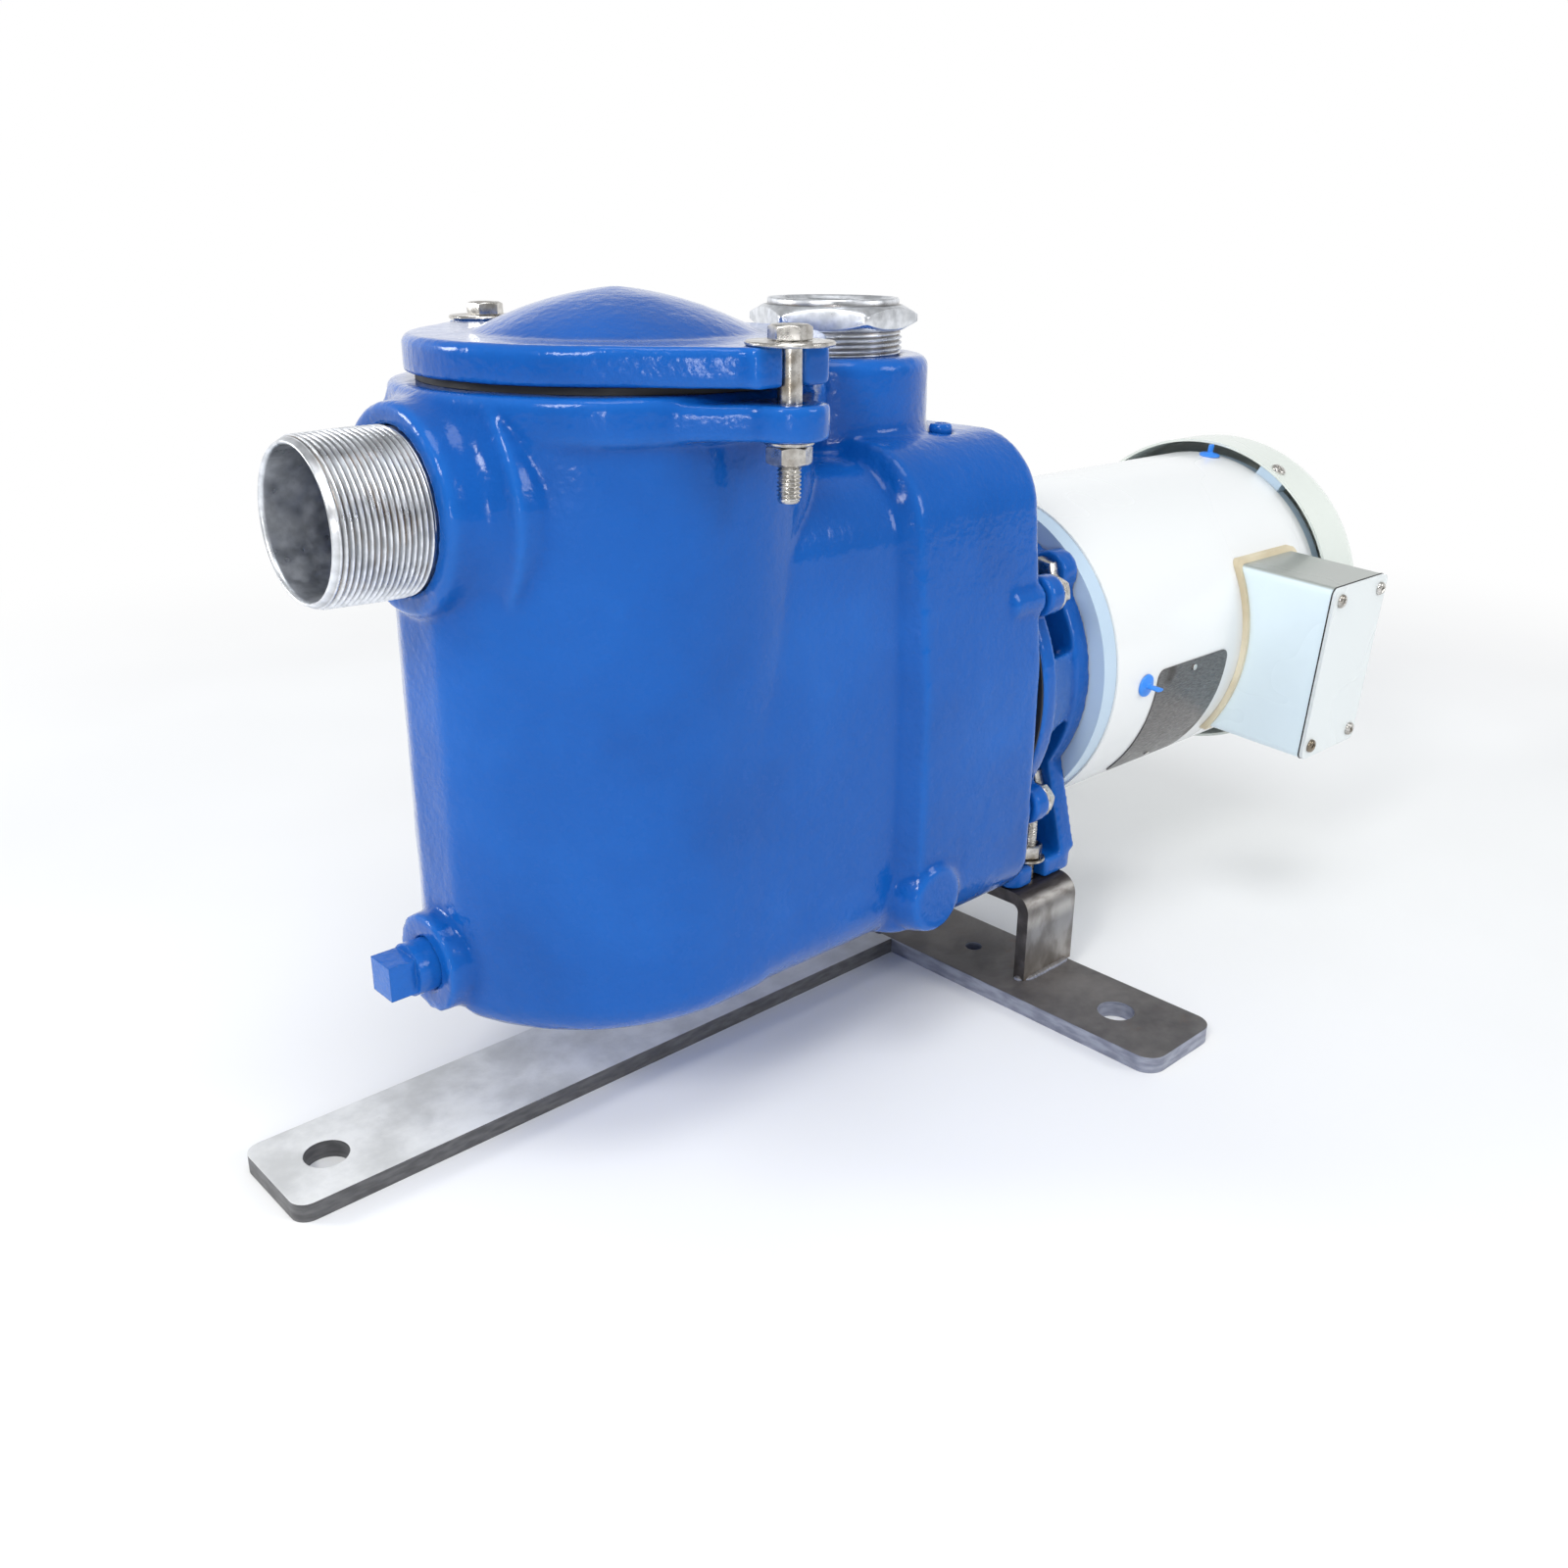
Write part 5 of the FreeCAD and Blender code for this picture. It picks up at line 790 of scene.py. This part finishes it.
def dischargeBushing():
    look = bushingLook
    angles = roundAngles(look["sides"])
    corner = hexRadii(look["across"] * mm, angles)
    crown = 0.478 * look["across"] * mm
    foot, thread, hexTop, rimTop = inMm(look, "foot", "thread", "hexTop", "rimTop")
    radius, bore, rim, engaged, throat = inMm(look, "radius", "bore", "rim", "engaged", "throat")
    depth, pitch = inMm(look, "depth", "pitch")
    drop = (corner - crown) * 0.55
    rings = profileRings(angles, [(engaged, foot), (engaged, look["seat"] * mm)])
    start, end = (look["seat"] + 0.1) * mm, thread - 1.2 * mm
    rings += threadRings(radius, depth, pitch, start, end, angles, 0.8 * mm, 9)
    rings += profileRings(angles, [
        (radius - 0.9 * mm, thread - 0.4 * mm), (radius - 0.6 * mm, thread), (crown, thread),
        (corner - 0.15 * mm, thread + drop), (corner, thread + drop + 0.5 * mm),
        (corner, hexTop - drop - 0.5 * mm), (corner - 0.15 * mm, hexTop - drop), (crown, hexTop),
        (rim + 0.5 * mm, hexTop + 0.1 * mm), (rim, hexTop + 0.5 * mm), (rim, rimTop - 0.7 * mm),
        (rim - 0.6 * mm, rimTop), (bore + 2.6 * mm, rimTop), (bore + 1.9 * mm, rimTop - 0.6 * mm),
    ])
    # the thread inside is a little shallower, and ends above the narrow throat
    start, end = rimTop - 1.6 * mm, foot + 22 * mm
    rings += threadRings(bore + 1.25 * mm, depth * 0.85, pitch, start, end, angles, 1.5 * mm, 7)
    rings += profileRings(angles, [(throat, foot + 20.4 * mm), (throat, foot)])
    shell = aimed(skinRings(rings, closedLoop=True), (look["x"] * mm, 0, 0), turn=math.radians(look["turn"]))
    makePiece("dischargeBushing", [shell], "frame", "zinc_pipe", ("discharge_bushing",), 50)


suctionNipple()
dischargeBushing()
print("pipe fittings made")

# Weld beads where the riser stands on the cross plate and the bar meets it

# the bead's size, then where each bead starts and stops, in mm from the corners of the steel
weldLook = {"radius": 2.6, "ripple": 2.4, "around": 14, "perRipple": 6, "wander": 0.25,
            "ends": (1.0, 5.6), "side": (2.0, 3.0), "barInset": 6.0, "barDrop": 1.6}


def weldBead(start, end, scale):
    start, end, up = Vector(start), Vector(end), Vector((0, 0, 1))
    along = (end - start).normalized()
    side = along.cross(up)
    length = (end - start).length
    steps = max(8, int(length / (weldLook["ripple"] * mm) * weldLook["perRipple"]))
    angles = roundAngles(weldLook["around"])
    rings = []
    for s in range(steps + 1):
        t = s / steps
        phase = t * length / (weldLook["ripple"] * mm)
        wave = abs(math.sin(math.pi * phase))
        close = min(1.0, math.sqrt(max(0.02, min(t, 1 - t) * length / (weldLook["radius"] * mm))))
        radius = weldLook["radius"] * mm * scale * close * (0.86 + 0.14 * wave)
        wander = weldLook["wander"] * mm * noise.noise(Vector((phase * 0.7, start.x * 100, start.y * 100)))
        centre = start + along * (t * length) + side * wander
        ring = [centre + side * (radius * math.cos(a)) + up * (radius * math.sin(a)) for a in angles]
        rings.append(np.array([tuple(p) for p in ring]))
    return skinRings(rings)


def baseWelds():
    plateLow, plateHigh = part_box("base_cross_plate")
    riserLow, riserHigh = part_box("riser_bridge")
    barLow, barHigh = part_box("base_bar")
    top = plateHigh.z
    near, far = weldLook["ends"]
    fromLow, fromHigh = (gap * mm for gap in weldLook["side"])
    shells = []
    for side in (-1, 1):
        y = side * riserHigh.y
        for x in (riserLow.x, riserHigh.x):
            shells.append(weldBead((x, y - side * near * mm, top), (x, y - side * far * mm, top), 0.9))
        shells.append(weldBead((riserLow.x + fromLow, y, top), (riserHigh.x - fromHigh, y, top), 0.8))
    inset, level = weldLook["barInset"] * mm, top - weldLook["barDrop"] * mm
    shells.append(weldBead((plateLow.x, barLow.y + inset, level), (plateLow.x, barHigh.y - inset, level), 0.95))
    makePiece("baseWelds", shells, "frame", "raw_steel", sharpFrom=80)


baseWelds()
print("welds made")

# Motor trim: pull plugs, small screws and the bare nameplate

plugLook = {"radius": 5.9, "rim": 1.5, "neck": 1.7, "tabWidth": 5.6, "tabThick": 1.7, "stem": 2.3, "sides": 48,
            "places": ((72.5, -4.2, 84.0, 9.0), (236.0, 84.0, 84.0, 6.6))}  # x, degrees, shell radius, height


def pullPlugs():
    look = plugLook
    shells = []
    angles = roundAngles(look["sides"])
    for x, degrees, reach, tall in look["places"]:
        radius, rim, neck, stem = inMm(look, "radius", "rim", "neck", "stem")
        # the cap sags to follow the shell's curve, then narrows into a flat tab
        sag = (radius * np.cos(angles)) ** 2 / (2 * reach * mm) * 0.9
        across = look["tabWidth"] / 2 * mm
        through = look["tabThick"] / 2 * mm
        flat = across * through / np.sqrt((through * np.cos(angles)) ** 2 + (across * np.sin(angles)) ** 2)
        rings = profileRings(angles, [
            (stem, -3.0 * mm), (stem, 0.0), (radius - 0.3 * mm, 0.02 * mm - sag), (radius, 0.4 * mm - sag),
            (radius - 0.25 * mm, rim * 0.75 - sag), (radius * 0.8, rim), (neck * 1.5, rim * 1.15),
            (0.5 * neck + 0.5 * flat, rim * 1.6), (flat, rim * 2.2), (flat, (tall - 0.5) * mm),
            (flat * 0.8, tall * mm),
        ])
        angle = math.radians(degrees)
        outward = (0, -math.cos(angle), math.sin(angle))
        foot = Vector((x * mm, 0, shaftHeight)) + Vector(outward) * (reach * mm)
        shells.append(aimed(skinRings(rings), foot, outward))
    makePiece("pullPlugs", shells, "frame", "blue_plug", ("motor_plugs",))


def panHeadShell(look, length):
    # a rounded head with a square recess above z 0, and its shank below
    radius, head, shank = inMm(look, "radius", "head", "shank")
    angles = roundAngles(look["sides"])
    square = look["recess"] * mm / np.maximum(np.abs(np.cos(angles)), np.abs(np.sin(angles)))
    rings = profileRings(angles, [
        (shank * 0.5, -length), (shank, -length + shank * 0.6), (shank, 0.0), (radius, 0.0),
        (radius, head * 0.35), (radius * 0.93, head * 0.72), (radius * 0.78, head * 0.94), (radius * 0.6, head),
        (square * 1.08, head), (square, head * 0.9), (square * 0.9, head * 0.3),
    ])
    return skinRings(rings)


boxScrews = {"x": 192.3, "xReach": 21.3, "rise": -1.4, "zReach": 40.2, "seat": 129.0, "turn": 4.0,
             "radius": 3.6, "head": 2.0, "shank": 1.85, "length": 9.0, "recess": 1.5, "sides": 48}
# the box sits a few degrees round the motor's shell
boxTilt = Matrix.Rotation(math.radians(boxScrews["turn"]), 3, "X")


def boxLidScrews():
    look = boxScrews
    shells = []
    for i in (-1, 1):
        for j in (-1, 1):
            x, z = look["x"] + i * look["xReach"], look["rise"] + j * look["zReach"]
            place = boxTilt @ (Vector((x, -look["seat"], z)) * mm) + Vector((0, 0, shaftHeight))
            shell = panHeadShell(look, look["length"] * mm)
            shells.append(aimed(shell, place, boxTilt @ Vector((0, -1, 0)), 0.5 * i + 0.3 * j))
    steelPiece("boxLidScrews", shells, "conduit_cover_screws")


lidSeam = {"low": 126.5, "high": 127.15, "halfX": 28.3, "halfZ": 47.2, "corner": 4.0, "proud": 0.3,
           "depth": 1.2, "sides": 64}


def boxLidSeam():
    # a thin black strip between the box and its lid gives the seam its dark line: painted shade
    look = lidSeam
    angles = roundAngles(look["sides"])
    across, upright = look["halfX"] - look["corner"], look["halfZ"] - look["corner"]
    outer, inner = look["corner"] + look["proud"], look["corner"] - look["depth"]
    rings = []
    for level, radius in (("low", outer), ("high", outer), ("high", inner), ("low", inner)):
        x = boxScrews["x"] + np.sign(np.cos(angles)) * across + radius * np.cos(angles)
        z = boxScrews["rise"] + np.sign(np.sin(angles)) * upright + radius * np.sin(angles)
        flat = np.stack([x, np.full(look["sides"], -look[level]), z], axis=1) * mm
        rings.append(flat @ np.array(boxTilt).T + np.array([0, 0, shaftHeight]))
    makePiece("boxLidSeam", [skinRings(rings, True)], "frame", "black_rubber")


fanScrews = {"x": 247.5, "seat": 91.6, "foot": 79.0, "angle": 31.0, "radius": 4.2, "head": 1.8, "shank": 2.15,
             "recess": 1.6, "sides": 48}


def fanCoverScrews():
    look = fanScrews
    shells = []
    for k in range(4):
        angle = math.radians(look["angle"] + 90 * k)
        outward = Vector((0, -math.sin(angle), math.cos(angle)))
        place = Vector((look["x"] * mm, 0, shaftHeight)) + outward * (look["seat"] * mm)
        shell = panHeadShell(look, (look["seat"] - look["foot"]) * mm)
        shells.append(aimed(shell, place, outward, 0.4 * k))
    steelPiece("fanCoverScrews", shells, "fan_cover_screws")


nameplateLook = {"x0": 83.0, "x1": 147.5, "top": -0.5, "bottom": -48.0, "inside": 84.1, "outside": 84.7,
                 "corner": 5.0, "columns": 30, "rows": 30}


def motorNameplate():
    # a bare curved plate with rounded corners
    look = nameplateLook
    perDegree = math.radians(1) * look["outside"]
    columns, rows = look["columns"], look["rows"]
    points = []
    for radius in (look["inside"], look["outside"]):
        for c in range(columns + 1):
            x = look["x0"] + (look["x1"] - look["x0"]) * (0.5 - 0.5 * math.cos(math.pi * c / columns))
            inward = max(0.0, look["corner"] - min(x - look["x0"], look["x1"] - x))
            drawn = (look["corner"] - math.sqrt(max(0.0, look["corner"] ** 2 - inward ** 2))) / perDegree
            for r in range(rows + 1):
                low, high = look["bottom"] + drawn, look["top"] - drawn
                angle = math.radians(low + (high - low) * r / rows)
                y, z = -radius * mm * math.cos(angle), shaftHeight + radius * mm * math.sin(angle)
                points.append((x * mm, y, z))
    each = (columns + 1) * (rows + 1)

    def at(layer, c, r):
        return layer * each + c * (rows + 1) + r

    faces = []
    for c in range(columns):
        for r in range(rows):
            square = ((c, r), (c + 1, r), (c + 1, r + 1), (c, r + 1))
            for layer in (0, 1):
                faces.append(tuple(at(layer, *corner) for corner in square))
        for r in (0, rows):
            faces.append((at(0, c, r), at(0, c + 1, r), at(1, c + 1, r), at(1, c, r)))
    for r in range(rows):
        for c in (0, columns):
            faces.append((at(0, c, r), at(0, c, r + 1), at(1, c, r + 1), at(1, c, r)))
    makePiece("barePlate", [(np.array(points), faces)], "frame", "nameplate_metal", ("nameplate",))


pullPlugs()
boxLidScrews()
boxLidSeam()
fanCoverScrews()
motorNameplate()
print("motor trim made")

# Small round vent plug with a hex socket, in the chamber's top

ventLook = {"radius": 5.0, "stand": 6.0, "proud": 3.4, "socket": 4.8, "socketDepth": 2.6, "bolt": 4.9,
            "sides": 48}


def ventPlug():
    look = ventLook
    low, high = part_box("vent_plug")
    centre = ((low.x + high.x) / 2, (low.y + high.y) / 2)
    seat = high.z - look["stand"] * mm
    angles = roundAngles(look["sides"])
    radius, proud, bolt = inMm(look, "radius", "proud", "bolt")
    socket = hexRadii(look["socket"] * mm, angles)
    rings = profileRings(angles, [
        (bolt * 0.8, low.z - seat), (bolt, low.z - seat + 0.8 * mm),
        (bolt, 0.0), (radius, 0.2 * mm), (radius, proud * 0.6),
        (radius * 0.9, proud * 0.9), (radius * 0.74, proud),
        (socket * 1.06, proud), (socket, proud - 0.3 * mm),
        (socket * 0.98, proud - look["socketDepth"] * mm),
    ])
    makePiece("ventPlug", [aimed(skinRings(rings), (*centre, seat))], "frame", "blue_enamel", ("vent_plug",))


ventPlug()
print("vent plug made")

# Every CAD node that still shows gets its finish

nodeSlots = {row["node"]: row["material_slot"] for row in frame["record"]["subparts"]}


def dressNode(name):
    node = cadNodes[name]
    slot = nodeSlots[name]
    node.data.materials.clear()
    node.data.materials.append(ownFinishes.get(name, finishes[slot]))


for name in cadNodes:
    dressNode(name)
print("nodes dressed")

# Stage: pale floor, white surroundings, soft lamps and the camera

stageLook = {"floor": 8.0, "near": 0.5, "far": 1.15, "drop": 0.05, "sky": (0.95, 0.975, 1.0, 1), "light": 0.64,
             "backdrop": (0.6, 0.8, 0.0), "dim": 0.3, "overhead": 0.45, "target": (-0.03, 0, 0.16)}


def seenDirectly(tree):
    # 1 for the camera and for what metal and gloss mirror, 0 for the light that falls on the object
    path = tree.nodes.new("ShaderNodeLightPath")
    seen = path.outputs["Is Camera Ray"]
    for ray in ("Is Glossy Ray", "Is Transmission Ray"):
        seen = mathNode(tree, "MAXIMUM", seen, path.outputs[ray])
    return seen


def makeFloor():
    # pale paint that fades into the white surroundings away from the object
    half = stageLook["floor"] / 2
    corners = [(-half, -half, 0), (half, -half, 0), (half, half, 0), (-half, half, 0)]
    mesh = bpy.data.meshes.new("floor")
    mesh.from_pydata(corners, [], [(0, 1, 2, 3)])
    floor = bpy.data.objects.new("floor", mesh)
    floor.location.z = -stageLook["drop"] * mm
    bpy.context.scene.collection.objects.link(floor)
    finish, tree, shader = newFinish("floorPaint", Roughness=0.8, Specular_IOR_Level=0.2)
    tint = spread(tree, grainNoise(tree, 3, 2), ((0.3, 0.86), (0.7, 0.9)))
    tree.links.new(tint, shader.inputs["Base Color"])
    place = tree.nodes.new("ShaderNodeTexCoord")
    away = tree.nodes.new("ShaderNodeVectorMath")
    away.operation = "LENGTH"
    tree.links.new(place.outputs["Object"], away.inputs[0])
    fade = tree.nodes.new("ShaderNodeMapRange")
    fade.interpolation_type = "SMOOTHSTEP"
    fade.inputs["From Min"].default_value = stageLook["near"]
    fade.inputs["From Max"].default_value = stageLook["far"]
    tree.links.new(away.outputs["Value"], fade.inputs["Value"])
    share = mathNode(tree, "MULTIPLY", fade.outputs["Result"], seenDirectly(tree))
    white = tree.nodes.new("ShaderNodeEmission")
    white.inputs["Color"].default_value = (1, 1, 1, 1)
    mix = tree.nodes.new("ShaderNodeMixShader")
    tree.links.new(share, mix.inputs[0])
    tree.links.new(shader.outputs[0], mix.inputs[1])
    tree.links.new(white.outputs[0], mix.inputs[2])
    tree.links.new(mix.outputs[0], tree.nodes["Material Output"].inputs["Surface"])
    mesh.materials.append(finish)


def makeWorld():
    world = bpy.data.worlds.new("studio")
    world.use_nodes = True
    tree = world.node_tree
    light = tree.nodes["Background"]
    light.inputs["Color"].default_value = stageLook["sky"]
    light.inputs["Strength"].default_value = stageLook["light"]
    # a white backdrop stands behind the object; gloss and metal mirror it, and a dimmer room in front of it
    direction = tree.nodes.new("ShaderNodeTexCoord")
    towards = tree.nodes.new("ShaderNodeVectorMath")
    towards.operation = "DOT_PRODUCT"
    tree.links.new(direction.outputs["Generated"], towards.inputs[0])
    towards.inputs[1].default_value = stageLook["backdrop"]
    behind = spread(tree, towards.outputs["Value"], ((0.0, 0.0), (0.4, 1.0)))
    height = alongAxis(tree, direction.outputs["Generated"], "Z")
    room = spread(tree, height, ((0.1, stageLook["dim"]), (0.8, stageLook["overhead"])))
    low = spread(tree, height, ((0.3, 1.0), (0.62, 0.0)))
    wall = blendColours(tree, 1.0, behind, low, "MULTIPLY")
    mirrored = blendColours(tree, wall, room, (1, 1, 1))
    path = tree.nodes.new("ShaderNodeLightPath")
    white = tree.nodes.new("ShaderNodeBackground")
    shown = blendColours(tree, path.outputs["Is Camera Ray"], mirrored, (1, 1, 1))
    tree.links.new(shown, white.inputs["Color"])
    mix = tree.nodes.new("ShaderNodeMixShader")
    tree.links.new(seenDirectly(tree), mix.inputs[0])
    tree.links.new(light.outputs[0], mix.inputs[1])
    tree.links.new(white.outputs[0], mix.inputs[2])
    tree.links.new(mix.outputs[0], tree.nodes["World Output"].inputs["Surface"])
    bpy.context.scene.world = world


lamps = {
    "key": {"place": (-1.05, -0.42, 0.88), "size": 0.3, "power": 5.0, "colour": (1, 0.99, 0.97)},
    "rim": {"place": (-1.5, 1.3, 0.9), "size": 0.5, "power": 12, "colour": (1, 1, 1)},
    "overhead": {"place": (-0.4, -0.5, 2.4), "size": 1.2, "power": 15, "colour": (0.97, 0.985, 1.0)},
    "front": {"place": (-1.2, -1.15, 0.3), "size": 0.2, "power": 1.6, "colour": (1, 1, 1)},
    "fill": {"place": (0.9, -1.8, 1.1), "size": 0.8, "power": 11, "colour": (1, 1, 1)},
}


def makeLamps():
    target = Vector(stageLook["target"])
    for name, look in lamps.items():
        lamp = bpy.data.lights.new(name, "AREA")
        lamp.shape = "DISK"
        lamp.size = look["size"]
        lamp.energy = look["power"]
        lamp.color = look["colour"]
        holder = bpy.data.objects.new(name, lamp)
        holder.location = look["place"]
        holder.rotation_euler = (Vector(look["place"]) - target).to_track_quat("Z", "Y").to_euler()
        bpy.context.scene.collection.objects.link(holder)


cameraLook = {"place": (-0.51911, -0.45527, 0.35515), "turn": (69.9816, -0.4462, -42.9368), "lens": 32.49,
              "shift": (-0.0028, -0.0225), "nearest": 0.02, "furthest": 50}


def makeCamera():
    camera = bpy.data.cameras.new("camera")
    camera.lens = cameraLook["lens"]
    camera.shift_x, camera.shift_y = cameraLook["shift"]
    camera.clip_start = cameraLook["nearest"]
    camera.clip_end = cameraLook["furthest"]
    holder = bpy.data.objects.new("camera", camera)
    holder.location = cameraLook["place"]
    holder.rotation_euler = [math.radians(a) for a in cameraLook["turn"]]
    bpy.context.scene.collection.objects.link(holder)
    bpy.context.scene.camera = holder


makeFloor()
makeWorld()
makeLamps()
makeCamera()
bpy.context.scene.view_settings.view_transform = "Standard"
print("stage set")
